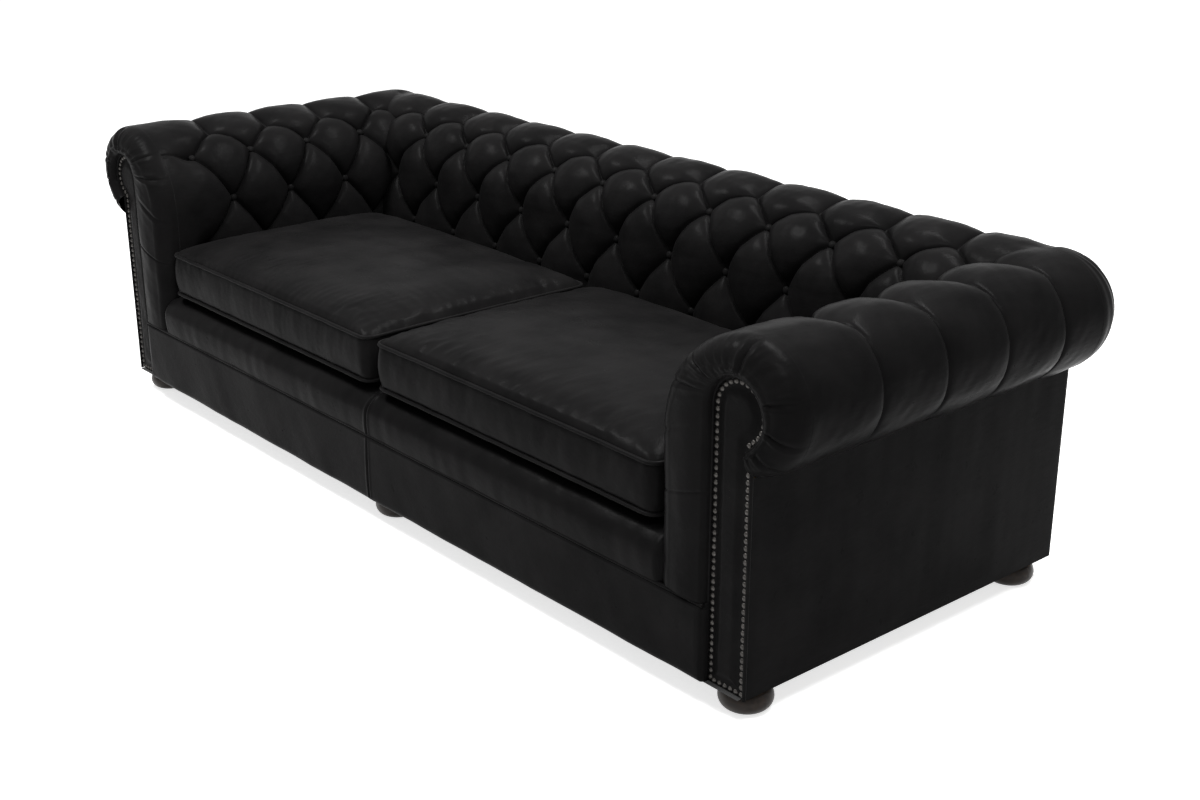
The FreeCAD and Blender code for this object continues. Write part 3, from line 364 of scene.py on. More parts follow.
class Section:
    def __init__(self, low_reach, crest):
        self.crest = crest
        self.crest_level = ROLL_LEVEL + ROLL_RADIUS - crest
        self.low_reach = low_reach
        self.wall = math.hypot(low_reach - crest, self.crest_level - PAD_LOW_LEVEL)
        self.crown = self.wall + crest * math.pi / 2
        self.length = self.crown + ROLL_RADIUS * UNDER_TURN

    def at(self, distance):
        """Points and outward directions at distances along the face, counted from its low edge."""
        distance = np.asarray(distance, float)
        share = distance / self.wall
        wall_reach = self.low_reach + (self.crest - self.low_reach) * share
        wall_level = PAD_LOW_LEVEL + (self.crest_level - PAD_LOW_LEVEL) * share
        crest_turn = (distance - self.wall) / self.crest
        roll_turn = (distance - self.crown) / ROLL_RADIUS
        on_wall = distance < self.wall
        on_crest = distance < self.crown
        reach = np.where(on_wall, wall_reach, np.where(on_crest, self.crest * np.cos(crest_turn),
                                                       -ROLL_RADIUS * np.sin(roll_turn)))
        level = np.where(on_wall, wall_level,
                         np.where(on_crest, self.crest_level + self.crest * np.sin(crest_turn),
                                  ROLL_LEVEL + ROLL_RADIUS * np.cos(roll_turn)))
        lean = math.atan2(self.low_reach - self.crest, self.crest_level - PAD_LOW_LEVEL)
        out_reach = np.where(on_wall, math.cos(lean),
                             np.where(on_crest, np.cos(crest_turn), -np.sin(roll_turn)))
        out_level = np.where(on_wall, math.sin(lean),
                             np.where(on_crest, np.sin(crest_turn), np.cos(roll_turn)))
        return reach, level, out_reach, out_level

    def reach_at_level(self, level):
        """How far the face stands towards the seat at a level at or below the crown."""
        drop = np.clip((level - self.crest_level) / self.crest, 0, 1)
        wall_reach = self.low_reach + (self.crest - self.low_reach) * np.clip(
            (level - PAD_LOW_LEVEL) / (self.crest_level - PAD_LOW_LEVEL), 0, 1)
        return np.where(level < self.crest_level, wall_reach, self.crest * np.sqrt(1 - drop * drop))


ARM = Section(ARM_CREST, ARM_CREST)
BACK = Section(ROLL_Y - SEAT_REAR, BACK_CREST)


# Tufting


def row_of(distance):
    """The row coordinate of a distance along the face: 0 at the low row, 3 at the top row."""
    return np.interp(distance, ROWS, np.arange(len(ROWS)))


def zigzag(value):
    """0 at whole numbers and 1 half way between them."""
    return 1 - np.abs(2 * (value - np.floor(value)) - 1)


def pillow_depth(column, distance, half_pitch, first_column):
    """How deep the leather lies under the plain face: pillows between folds that join the buttons."""
    row = row_of(distance)
    inner_column = np.maximum(column, first_column)
    first = zigzag((inner_column + row) / 2)
    second = zigzag((inner_column - row) / 2)
    rise = FOLD_RISE * (first + second - first * second)
    full = np.sqrt((1 - (1 - first) ** PILLOW_FULLNESS) * (1 - (1 - second) ** PILLOW_FULLNESS))
    depth = np.interp(row, np.arange(len(ROWS)), ROW_DEPTHS)
    past_top = distance - ROWS[-1]
    past_low = ROWS[0] - distance
    past_end = (first_column - column) * half_pitch
    fade = (1 - smooth(*TOP_FADE, past_top)) * (1 - LOW_FADE_SHARE * smooth(0.0, LOW_FADE, past_low))
    fade = fade * (1 - smooth(0.0, END_FADE, past_end))
    sunk = depth * (1 - rise) * (1 - full) * fade
    fold = np.minimum(first, second) * half_pitch * 0.75
    slit = SLIT_DEPTH * np.exp(-fold / SLIT_WIDTH) * np.maximum(fade, 0.0)
    # pleats that run on from the top row over the roll
    from_pleat = zigzag((inner_column - 1) / 2) * half_pitch
    roll_share = smooth(0.005, 0.05, past_top) * (1 - 0.45 * smooth(0.25, 0.40, past_top))
    lobes = LOBE_DEPTH * (1 - np.sqrt(1 - (1 - np.clip(from_pleat / half_pitch, 0, 1)) ** 3))
    pleat = (lobes + PLEAT_DEPTH * np.exp(-from_pleat / PLEAT_WIDTH)) * roll_share * (past_end <= 0)
    # the pleat that runs forward from the first button of the high row
    from_high_row = np.abs(distance - ROWS[2])
    forward = FORWARD_DEPTH * np.exp(-from_high_row / FORWARD_WIDTH) * smooth(0.0, 0.02, past_end)
    return sunk + slit + pleat + forward


def puckers(column_place, distance, tufts, seed):
    """Small folds that fan out from each button."""
    draw = np.random.default_rng(seed)
    total = np.zeros(column_place.shape)
    for place, height, strength in tufts:
        near_across = np.abs(column_place - place) < PUCKER_REACH
        near = near_across & (np.abs(distance - height) < PUCKER_REACH)
        across = column_place[near] - place
        up = distance[near] - height
        radius = np.hypot(across, up)
        turn = np.arctan2(up, across)
        folds = np.zeros(radius.shape)
        for count in PUCKER_COUNTS:
            folds += draw.uniform(0.5, 1.0) * np.sin(count * turn + draw.uniform(0, 2 * math.pi))
        reach = smooth(0.006, 0.016, radius) * (1 - smooth(0.022, 0.06, radius))
        upward = 0.55 + 0.45 * np.sin(turn)
        total[near] += strength * PUCKER_DEPTH * folds * reach * upward
    return total


def tuft_list(half_pitch, first, columns, rows_by_parity):
    """(place, distance along the face, depth) of each tuft."""
    tufts = []
    for column in columns:
        for row in rows_by_parity[column % 2]:
            tufts.append((first + column * half_pitch, ROWS[row], ROW_DEPTHS[row]))
    return tufts


def face_distances(section):
    """Distances along the face for the mesh rows, so that whole rows of tufts fall on mesh rows."""
    parts = [np.linspace(0.0, ROWS[0], 34)[:-1]]
    for low, high in zip(ROWS, ROWS[1:]):
        parts.append(np.linspace(low, high, CELL_STEPS + 1)[:-1])
    parts.append(np.linspace(ROWS[-1], section.length, 112))
    return np.concatenate(parts)


def leather_face(section, columns, half_pitch, first_place, first_column, end_places, to_space, tufts, seed):
    """The grid of a tufted face. Columns count half pitches, and each row stops at its end places."""
    distance = face_distances(section)
    reach, level, out_reach, out_level = section.at(distance)
    low_end, high_end = end_places(distance < section.crown, level)
    column_grid = np.tile(columns, (len(distance), 1))
    place = first_place + column_grid * half_pitch
    place = np.clip(place, low_end[:, None], high_end[:, None])
    true_column = (place - first_place) / half_pitch
    distance_grid = np.tile(distance[:, None], (1, len(columns)))
    depth = pillow_depth(true_column, distance_grid, half_pitch, first_column)
    depth = depth - puckers(place, distance_grid, tufts, seed)
    sample = np.stack([place, distance_grid, np.zeros_like(place)], axis=-1)
    plain_end = smooth(0.0, 0.03, place - low_end[:, None]) * smooth(0.0, 0.07, high_end[:, None] - place)
    if section is BACK:
        plain_end = plain_end * smooth(0.0, 0.07, place - low_end[:, None])
    past_crown = smooth(section.crown - 0.11, section.crown - 0.02, distance_grid)
    keep = 1 - past_crown * (1 - plain_end)
    depth = depth * keep + 0.0014 * wave_noise(sample, 0.11, seed + 1) * plain_end
    offset_reach = reach[:, None] - out_reach[:, None] * depth
    offset_level = level[:, None] - out_level[:, None] * depth
    return to_space(offset_reach, offset_level, place)


def even_columns(low, high, half_pitch):
    """Column numbers of the mesh, CELL_STEPS to each half pitch, from at or before low to at or past high."""
    first = math.floor(low / half_pitch)
    last = math.ceil(high / half_pitch)
    return np.arange(first * CELL_STEPS, last * CELL_STEPS + 1) / CELL_STEPS


def right_arm_space(reach, level, along):
    return np.stack([ROLL_X - reach, FRONT + along, UNDER + level], axis=-1)


def back_space(reach, level, along):
    return np.stack([along, ROLL_Y - reach, UNDER + level], axis=-1)


def tuck_under(reach):
    """How far a face runs on inside its neighbour past the corner crease."""
    return np.clip(reach * 0.3, 0.0, 0.05)


def arm_ends(before_crown, level):
    """Where each row of an arm's face starts and stops."""
    to_crease = np.where(before_crown, BACK.reach_at_level(level), 0.0)
    low = np.full(len(level), PAD_FRONT - FRONT)
    high = (ROLL_Y - FRONT) - to_crease + np.where(before_crown, tuck_under(to_crease), 0.0)
    return low, high


def back_ends(before_crown, level):
    """Where each row of the back's face starts and stops."""
    to_crease = np.where(before_crown, ARM.reach_at_level(level), 0.0)
    high = ROLL_X - to_crease + np.where(before_crown, tuck_under(to_crease), 0.0)
    return -high, high


def mirror_x(grid):
    return grid * np.array([-1.0, 1.0, 1.0])


ARM_COLUMNS = range(0, 9)
ARM_TUFTS = tuft_list(ARM_HALF_PITCH, ARM_FIRST_TUFT, ARM_COLUMNS, ((0, 2), (1, 3)))
BACK_COLUMNS = range(-11, 12)
# rows low and high stand on odd columns of the back, rows middle and top on even ones
BACK_TUFTS = tuft_list(BACK_HALF_PITCH, 0.0, BACK_COLUMNS, ((1, 3), (0, 2)))


def tufted_leather():
    first_tuft = FRONT + ARM_FIRST_TUFT
    arm_columns = even_columns(PAD_FRONT - first_tuft, ROLL_Y - first_tuft, ARM_HALF_PITCH)
    for side, seed in (("right", 21), ("left", 34)):
        grid = leather_face(ARM, arm_columns, ARM_HALF_PITCH, ARM_FIRST_TUFT, 0, arm_ends, right_arm_space,
                            ARM_TUFTS, seed)
        if side == "left":
            grid = mirror_x(grid)
        leather_piece(f"{side}_arm_leather", grid, f"{side}_arm_tufted_cover", side == "right")
    # numbered one higher than in BACK_TUFTS, so that even columns hold the low and high rows, as on the arms
    back_columns = even_columns(-ROLL_X, ROLL_X, BACK_HALF_PITCH) + 1
    no_first_column = -1e6
    grid = leather_face(BACK, back_columns, BACK_HALF_PITCH, -BACK_HALF_PITCH, no_first_column, back_ends,
                        back_space, BACK_TUFTS, 55)
    leather_piece("back_leather", grid, "back_tufted_cover")


def corner_leather():
    """The outside of the roll where it turns from an arm to the back."""
    turns = np.linspace(0, math.pi / 2, 64)
    roll = np.linspace(0, UNDER_TURN, 90)
    turn_grid, roll_grid = np.meshgrid(turns, roll, indexing="xy")
    inside = np.sin(turn_grid * 2)
    ripple = 0.0022 * np.sin(turn_grid * 22) * inside * smooth(0.2, 0.7, np.sin(roll_grid))
    radius = ROLL_RADIUS - 0.002 * inside * np.sin(roll_grid) + ripple * 0.6
    flat = radius * np.sin(roll_grid)
    grid = np.stack([ROLL_X + flat * np.cos(turn_grid), ROLL_Y + flat * np.sin(turn_grid),
                     UNDER + ROLL_LEVEL + radius * np.cos(roll_grid)], axis=-1)
    for side in ("right", "left"):
        shape = grid if side == "right" else mirror_x(grid)
        leather_piece(f"{side}_corner_leather", shape, f"{side}_corner_pad", side == "left")


def dome_part(centre, outward, radius, height, rings=7, sides=20):
    """Points and faces of a dome with a rounded rim."""
    outward = np.array(outward, float)
    outward /= np.linalg.norm(outward)
    helper = np.array([0.0, 0.0, 1.0]) if abs(outward[2]) < 0.9 else np.array([1.0, 0.0, 0.0])
    first = np.cross(outward, helper)
    first /= np.linalg.norm(first)
    second = np.cross(outward, first)
    points = [centre + outward * height]
    for ring in range(1, rings + 1):
        turn = math.pi / 2 * ring / rings
        for side in range(sides):
            spin = 2 * math.pi * side / sides
            around = first * math.cos(spin) + second * math.sin(spin)
            points.append(centre + around * radius * math.sin(turn) + outward * height * math.cos(turn))
    faces = [(0, 1 + (side + 1) % sides, 1 + side) for side in range(sides)]
    faces += [tuple(face) for face in grid_faces(rings, sides, close_columns=True) + 1]
    return points, faces


def button_parts(section, tufts, to_space, keep_row):
    parts = []
    for place, height, depth in tufts:
        if not keep_row(place, height):
            continue
        reach, level, out_reach, out_level = (float(value) for value in section.at(height))
        seat = depth * BUTTON_SEAT
        centre = to_space(reach - out_reach * seat, level - out_level * seat, place)
        outward = to_space(reach, level, place) - centre
        parts.append(dome_part(centre, outward, BUTTON_RADIUS, BUTTON_HEIGHT))
    return parts


def buttons():
    arm_parts = button_parts(ARM, ARM_TUFTS, right_arm_space,
                             lambda place, height: height in ROWS[1:3] and place < ARM_BUTTON_END)
    for side in ("right", "left"):
        sign = 1.0 if side == "right" else -1.0
        parts = [([point * np.array([sign, 1, 1]) for point in points],
                  faces if sign > 0 else [face[::-1] for face in faces]) for points, faces in arm_parts]
        piece = joined_piece(f"{side}_arm_button_set", parts, WELT_LEATHER)
        finish_piece(piece, "sofa_body", "leather", f"{side}_arm_buttons")
    parts = button_parts(BACK, BACK_TUFTS, back_space,
                         lambda place, height: height < ROWS[3] and abs(place) < BACK_BUTTON_END)
    piece = joined_piece("back_button_set", parts, WELT_LEATHER)
    finish_piece(piece, "sofa_body", "leather", "back_buttons")


tufted_leather()
corner_leather()
buttons()


def tube_part(points, radius, closed=False, sides=12):
    """Points and faces of a round cord along a line of points."""
    line = np.asarray(points, float)
    after = np.roll(line, -1, axis=0)
    before = np.roll(line, 1, axis=0)
    if not closed:
        after[-1] = line[-1]
        before[0] = line[0]
    along = after - before
    along /= np.linalg.norm(along, axis=1)[:, None]
    helper = np.cross(along[0], (0.3, 0.5, 0.81))
    firsts = []
    for direction in along:
        helper = helper - direction * helper.dot(direction)
        helper = helper / np.linalg.norm(helper)
        firsts.append(helper)
    firsts = np.array(firsts)
    seconds = np.cross(along, firsts)
    spin = np.linspace(0, 2 * math.pi, sides, endpoint=False)
    rings = line[:, None] + radius * (firsts[:, None] * np.cos(spin)[None, :, None]
                                      + seconds[:, None] * np.sin(spin)[None, :, None])
    faces = [tuple(face) for face in grid_faces(len(line), sides, close_rows=closed, close_columns=True)]
    if not closed:
        faces.append(tuple(range(sides)))
        last = (len(line) - 1) * sides
        faces.append(tuple(range(last + sides - 1, last - 1, -1)))
    return rings.reshape(-1, 3), faces


# Arm fronts: a keyhole panel with nails, in a padded border that rounds over onto the arm

KEYHOLE_WIDTH = 0.096
HEAD_RADIUS = 0.062
HEAD_INSET = KEYHOLE_WIDTH - HEAD_RADIUS
HEAD_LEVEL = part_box("right_facing_panel")[1].z - UNDER - HEAD_RADIUS
NECK_LEVEL = 0.484
BORDER_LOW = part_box("right_arm_front_border")[0].z - UNDER
HEAD_END = math.radians(228)
ARM_ROLL_INSET = HALF_LENGTH - ROLL_X
# place round the border, depth and half width of each pleat
PLEATS = [(0.93, 0.0025, 0.010), (1.28, 0.004, 0.012), (1.52, 0.003, 0.010), (2.04, 0.006, 0.014),
          (2.42, 0.0045, 0.012), (2.66, 0.004, 0.011), (2.86, 0.003, 0.010)]
SEAM_LEVEL = 0.376
SEAM_DEPTH = 0.0022
SEAM_WIDTH = 0.0022
INNER_ROUND = 0.012
OUTER_ROUND = 0.046
BORDER_CROWN = 0.003
# shares of the border's mesh that the inner rounding and the flat middle take
INNER_SHARE = 0.18
MIDDLE_SHARE = 0.42
# the line that the facing's rings close in on, and where its head begins and ends
SPINE_INSET = 0.05
SPINE_FOOT = 0.05
SPINE_BEND = (0.44, 0.53)
WELT_RADIUS = 0.0035


def keyhole_edge(turn):
    """The panel's edge and the arm's outline: up the wall, over the crest, round the roll."""
    wall = np.clip(turn, 0, 1)
    crest = np.clip(turn - 1, 0, 1) * math.pi / 2
    roll = np.clip(turn - 2, 0, 1)
    head_angle = crest + roll * (HEAD_END - math.pi / 2)
    edge_inset = HEAD_INSET + HEAD_RADIUS * np.cos(head_angle)
    edge_level = np.where(turn < 1, BORDER_LOW + (HEAD_LEVEL - BORDER_LOW) * wall,
                          HEAD_LEVEL + HEAD_RADIUS * np.sin(head_angle))
    neck = smooth(0.72, 1.0, roll)
    edge_inset = edge_inset + (PANEL - edge_inset) * neck
    edge_level = edge_level + (NECK_LEVEL - edge_level) * neck
    roll_angle = roll * UNDER_TURN
    arm_inset = np.where(turn < 2, ARM_ROLL_INSET + ARM_CREST * np.cos(crest),
                         ARM_ROLL_INSET - ROLL_RADIUS * np.sin(roll_angle))
    arm_level = np.where(turn < 1, BORDER_LOW + (ARM.crest_level - BORDER_LOW) * wall,
                         np.where(turn < 2, ARM.crest_level + ARM_CREST * np.sin(crest),
                                  ROLL_LEVEL + ROLL_RADIUS * np.cos(roll_angle)))
    return edge_inset, edge_level, arm_inset, arm_level


def border_grid(seed):
    turn = np.concatenate([np.linspace(0, 1, 150)[:-1], np.linspace(1, 2, 200)[:-1], np.linspace(2, 3, 220)])
    share = np.linspace(0, 1, 70)
    turn_grid, share_grid = np.meshgrid(turn, share, indexing="ij")
    edge_inset, edge_level, arm_inset, arm_level = keyhole_edge(turn_grid)
    width = np.hypot(arm_inset - edge_inset, arm_level - edge_level)
    outer_round = np.minimum(OUTER_ROUND, width - INNER_ROUND - 0.006)
    proud = FRONT - PROUD
    inner = np.clip(share_grid / INNER_SHARE, 0, 1) * math.pi / 2
    middle = np.clip((share_grid - INNER_SHARE) / MIDDLE_SHARE, 0, 1)
    outer = np.clip((share_grid - 0.60) / 0.40, 0, 1) * math.pi / 2
    across = (INNER_ROUND * (1 - np.cos(inner)) + (width - INNER_ROUND - outer_round) * middle
              + outer_round * np.sin(outer))
    height = (proud * np.sin(inner) + BORDER_CROWN * np.sin(math.pi * middle)
              - (PAD_FRONT - PROUD) * (1 - np.cos(outer)))
    arc_steps = np.hypot(np.diff(arm_inset[:, -1]), np.diff(arm_level[:, -1]))
    arc_place = np.concatenate([[0], np.cumsum(arc_steps)])
    sunk = np.zeros(turn_grid.shape)
    draw = np.random.default_rng(seed)
    for place, depth, half_width in PLEATS:
        centre = np.interp(place, turn, arc_place)
        lean = draw.uniform(-0.012, 0.012) * (share_grid - 0.5)
        gap = (arc_place[:, None] - centre + lean) / half_width
        reach = smooth(0.10, 0.55, share_grid) * (1 - smooth(0.72, 1.0, share_grid))
        sunk += depth * reach * (np.exp(-np.abs(gap) * 2.4) - 0.35 * np.exp(-(np.abs(gap) - 1.1) ** 2 * 3))
    seam_gap = (edge_level - SEAM_LEVEL) / SEAM_WIDTH
    seam_depth = SEAM_DEPTH * (1 - smooth(0.75, 1.0, share_grid))
    sunk += np.where(turn_grid < 1, seam_depth * np.exp(-seam_gap ** 2), 0)
    wrinkles = wave_noise(np.stack([arm_inset * 2.2, arm_level * 0.7, share_grid * 0.12], -1), 0.09, seed + 3)
    sunk += 0.0012 * wrinkles * smooth(0.0, 0.3, share_grid) * (1 - smooth(0.8, 1.0, share_grid))
    step = across / width
    front_share = np.cos(outer)
    side_share = np.sin(outer)
    inset = edge_inset + (arm_inset - edge_inset) * (step - side_share * sunk / width)
    level = edge_level + (arm_level - edge_level) * (step - side_share * sunk / width)
    forward = height - front_share * sunk
    return np.stack([HALF_LENGTH - inset, FRONT - forward, UNDER + level], axis=-1)


def keyhole_line(margin, count=420, closed=False):
    """The panel's outline drawn in by a margin, from the inner foot over the head to the outer foot."""
    low = 0.002 + margin
    inner = KEYHOLE_WIDTH - margin
    outer = PANEL + margin
    radius = HEAD_RADIUS - margin
    inner_edge = [(inner, level) for level in np.linspace(low, HEAD_LEVEL, 60)]
    end = math.pi + math.acos(min(1.0, (HEAD_INSET - outer) / radius))
    head = [(HEAD_INSET + radius * math.cos(angle), HEAD_LEVEL + radius * math.sin(angle))
            for angle in np.linspace(0, end, 90)[1:]]
    foot = [(outer, level) for level in np.linspace(head[-1][1], low, 60)[1:]]
    line = inner_edge + head + foot
    if closed:
        line += [(inset, low) for inset in np.linspace(outer, inner, 20)[1:]]
    return evenly_spaced(np.array(line), count)


def facing_grid(seed):
    """The padded face of the keyhole panel, as rings from its edge to its middle line."""
    edge = keyhole_line(0.0, 560, closed=True)
    below_head = 1 - smooth(*SPINE_BEND, edge[:, 1])
    middle_inset = np.where(edge[:, 1] > SPINE_BEND[0], HEAD_INSET + (SPINE_INSET - HEAD_INSET) * below_head,
                            SPINE_INSET)
    middle_level = np.clip(edge[:, 1], SPINE_FOOT, HEAD_LEVEL)
    share = np.linspace(0, 1, 26)[None, :]
    inset = edge[:, :1] + (middle_inset[:, None] - edge[:, :1]) * share
    level = edge[:, 1:] + (middle_level[:, None] - edge[:, 1:]) * share
    from_edge = np.full(inset.shape, 1.0)
    for edge_inset, edge_level in edge:
        from_edge = np.minimum(from_edge, np.hypot(inset - edge_inset, level - edge_level))
    forward = 0.0004 + 0.0045 * smooth(0.012, 0.034, from_edge)
    points = np.stack([inset, level, forward], -1)
    forward = forward + 0.0006 * wave_noise(points, 0.08, seed) * smooth(0.01, 0.02, from_edge)
    return np.stack([HALF_LENGTH - inset, FRONT - forward, UNDER + level], axis=-1)


def arm_fronts():
    for side, seed in (("right", 61), ("left", 72)):
        sign = 1 if side == "right" else -1
        turned = (lambda grid: grid) if sign > 0 else mirror_x
        leather_piece(f"{side}_border_leather", turned(border_grid(seed)), f"{side}_arm_front_border",
                      side == "left")
        leather_piece(f"{side}_facing_leather", turned(facing_grid(seed)), f"{side}_facing_panel",
                      side == "left")
        line = keyhole_line(-0.002)
        path = np.stack([HALF_LENGTH - line[:, 0], np.full(len(line), FRONT - 0.002), UNDER + line[:, 1]], -1)
        points, faces = tube_part(turned(path), WELT_RADIUS)
        finish_piece(mesh_piece(f"{side}_facing_welt", points, faces, WELT_LEATHER), "sofa_body", "leather")


arm_fronts()


# Front rail, outer panels and deck hem

# how far the lip runs on behind the arm border, and its rounding and depth
LIP_OVERLAP = 0.034
LIP_ROUND = 0.048
LIP_DEPTH = 0.08
# the rail border's columns, and how far before the facing its ends stop
RAIL_STEPS = 900
RAIL_END_DEPTH = FRONT - 0.0005
# the outer panels' rear corner, how far they run up into the roll, and the stitched line at their foot
PANEL_CORNER = 0.012
PANEL_OVERLAP = 0.004
STITCH_LEVEL = 0.011
STITCH_DEPTH = 0.0012
STITCH_WIDTH = 0.0012

def seam(gap, depth, half_width):
    """A sewn seam: a narrow groove with the leather full on both sides."""
    near = np.abs(gap) / half_width
    return -depth * np.exp(-near ** 2) + 0.4 * depth * np.exp(-(near - 3) ** 2 / 3)


def rail_leather():
    lip_end = SEAT_SIDE + LIP_OVERLAP
    across = np.linspace(-lip_end, lip_end, 940)
    lip_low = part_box("front_rail_welt")[1].z - 0.001
    rise = np.linspace(lip_low, LIP_TOP - LIP_ROUND, 16)
    turn = np.linspace(0, math.pi / 2, 18)[1:]
    flat = np.linspace(PROUD + LIP_ROUND, PROUD + LIP_DEPTH, 8)[1:]
    depth_line = np.concatenate([np.full(len(rise), PROUD), PROUD + LIP_ROUND * (1 - np.cos(turn)), flat])
    level_line = np.concatenate([rise, LIP_TOP - LIP_ROUND + LIP_ROUND * np.sin(turn),
                                 np.full(len(flat), LIP_TOP)])
    out_front = np.concatenate([np.ones(len(rise)), np.cos(turn), np.zeros(len(flat))])
    out_up = np.concatenate([np.zeros(len(rise)), np.sin(turn), np.ones(len(flat))])
    share = np.linspace(0, 1, len(level_line))
    along, share_grid = np.meshgrid(across, share, indexing="xy")
    puff = 0.004 * np.sin(math.pi * np.clip(share_grid / 0.6, 0, 1))
    sample = np.stack([along, share_grid * 0.12, np.zeros_like(along)], -1)
    puff = puff + 0.0016 * wave_noise(sample * np.array([1.0, 0.5, 1.0]), 0.16, 81) * (share_grid < 0.9)
    bend = 0.004 * np.sin(math.pi * share_grid)
    puff = puff + seam(along - bend, 0.003, 0.0022)
    puff = puff - 0.022 * smooth(0.0, LIP_OVERLAP, np.abs(along) - SEAT_SIDE) ** 1.5
    grid = np.stack([along, depth_line[:, None] - out_front[:, None] * puff,
                     level_line[:, None] + out_up[:, None] * (puff - 0.0045)], -1)
    leather_piece("rail_lip_leather", grid, "front_rail_lip")

    end = RAIL_END + 0.0015
    run = np.concatenate([[-end], np.linspace(-end, end, RAIL_STEPS), [end]])
    reach = np.concatenate([[RAIL_END_DEPTH], np.full(RAIL_STEPS, PROUD), [RAIL_END_DEPTH]])
    levels = np.linspace(UNDER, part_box("front_rail_border")[1].z, 26)
    along, level_grid = np.meshgrid(run, levels, indexing="xy")
    share_grid = (level_grid - UNDER) / (levels[-1] - UNDER)
    round_edge = 0.006 * (1 - np.sqrt(np.clip(1 - (1 - np.clip(share_grid / 0.06, 0, 1)) ** 2, 0, 1)))
    round_end = 0.006 * (1 - smooth(0.0, 0.008, end - np.abs(along)))
    sample = np.stack([along, level_grid, np.zeros_like(along)], -1)
    bulge = 0.0025 * np.sin(math.pi * share_grid) + 0.0012 * wave_noise(sample, 0.22, 83)
    bulge = (bulge + seam(along, 0.0025, 0.002)) * smooth(0.0, 0.02, end - np.abs(along))
    depth = np.tile(reach, (len(levels), 1))
    depth = np.where(depth < FRONT - 0.001, depth - bulge + round_edge + round_end, depth)
    sag = -0.003 * np.cos(along / end * math.pi / 2) * (1 - share_grid)
    grid = np.stack([along, depth, level_grid + sag], -1)
    # the edge is folded in behind the welt
    folds = []
    for back, level in ((0.009, levels[-1]), (0.009, lip_low + 0.0012), (0.024, lip_low + 0.0012)):
        fold = grid[-1].copy()
        fold[:, 1] = PROUD + back
        fold[:, 2] = level
        fold[[0, -1], 1] = RAIL_END_DEPTH
        folds.append(fold)
    grid = np.concatenate([grid, np.array(folds)])
    leather_piece("rail_border_leather", grid, "front_rail_border")


def raised_levels(levels, place_x, place_y):
    """Levels by place, with the top drawn up into the roll's underside where it rises at the rear corner."""
    flat = np.hypot(place_x - ROLL_X, np.maximum(place_y - ROLL_Y, 0.0))
    underside = UNDER + ROLL_LEVEL - np.sqrt(ROLL_RADIUS ** 2 - flat ** 2)
    top = np.maximum(levels[-1], underside + PANEL_OVERLAP)
    return UNDER + (levels - UNDER)[:, None] * (top - UNDER) / (levels[-1] - UNDER)


def stitched_line(level_grid):
    """How far the leather is drawn in along the stitches over a panel's foot."""
    return STITCH_DEPTH * np.exp(-((level_grid - UNDER - STITCH_LEVEL) / STITCH_WIDTH) ** 2)


def panel_leather():
    levels = np.linspace(UNDER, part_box("right_outer_panel")[1].z + PANEL_OVERLAP, 60)
    places = np.linspace(FRONT, REAR - PANEL_CORNER, 240)
    place_grid, level_grid = np.meshgrid(places, levels, indexing="xy")
    for side, seed in (("right", 91), ("left", 93)):
        sample = np.stack([place_grid, level_grid * 0.22, np.zeros_like(place_grid)], -1)
        edge = smooth(0, 0.03, level_grid - UNDER) * smooth(0, 0.02, place_grid - FRONT)
        bulge = (0.0007 * wave_noise(sample, 0.13, seed) + 0.0009) * edge
        bulge = bulge - stitched_line(level_grid)
        raised = raised_levels(levels, np.full(len(places), HALF_LENGTH), places)
        grid = np.stack([HALF_LENGTH + bulge, place_grid, raised], -1)
        turn = np.linspace(0, math.pi / 2, 10)[1:]
        corner = np.stack([HALF_LENGTH - PANEL_CORNER + PANEL_CORNER * np.cos(turn),
                           REAR - PANEL_CORNER + PANEL_CORNER * np.sin(turn)], -1)
        wrap = np.zeros((len(levels), len(turn), 3))
        wrap[:, :, :2] = corner[None]
        wrap[:, :, 2] = raised_levels(levels, corner[:, 0], corner[:, 1])
        grid = np.concatenate([grid, wrap], axis=1)
        if side == "left":
            grid = mirror_x(grid)
        leather_piece(f"{side}_panel_leather", grid, f"{side}_outer_panel", side == "left")
    end = HALF_LENGTH - PANEL_CORNER
    levels = np.linspace(UNDER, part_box("rear_outer_panel")[1].z + PANEL_OVERLAP, 60)
    run_grid, level_grid = np.meshgrid(np.linspace(-end, end, 500), levels, indexing="xy")
    sample = np.stack([run_grid, level_grid * 0.22, np.zeros_like(run_grid)], -1)
    bulge = (0.0011 * wave_noise(sample, 0.15, 95) + 0.001) * smooth(0, 0.03, level_grid - UNDER)
    bulge = bulge * smooth(0, 0.02, end - np.abs(run_grid))
    bulge = bulge - stitched_line(level_grid)
    grid = np.stack([run_grid, REAR + bulge, level_grid], -1)
    leather_piece("rear_panel_leather", grid, "rear_outer_panel", flip=True)


def deck_hem():
    """The front edge of the deck cloth, turned down over the pad behind the rail's lip."""
    cover_low, cover_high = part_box("deck_cover")
    front = cover_low.y - 0.0006
    top = cover_high.z + 0.0002
    profile = [(cover_low.y + 0.010, top), (front, top), (front, cover_low.z), (front, LIP_TOP - 0.012)]
    run = np.linspace(cover_low.x, cover_high.x, 60)
    grid = np.array([[(place, depth, level) for place in run] for depth, level in profile[::-1]])
    hem = grid_piece("deck_cover_hem", grid, DECK_CLOTH)
    finish_piece(hem, "sofa_body", "deck_cloth")


rail_leather()
panel_leather()
deck_hem()


# Seat cushions

CUSHION_LOW, CUSHION_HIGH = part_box("right_cushion_cover")
CUSHION_SIDE_TOP = CUSHION_LOW.z + 0.110
CUSHION_CORNER = 0.034
CUSHION_CROWN = 0.043
CUSHION_BULGE = 0.007
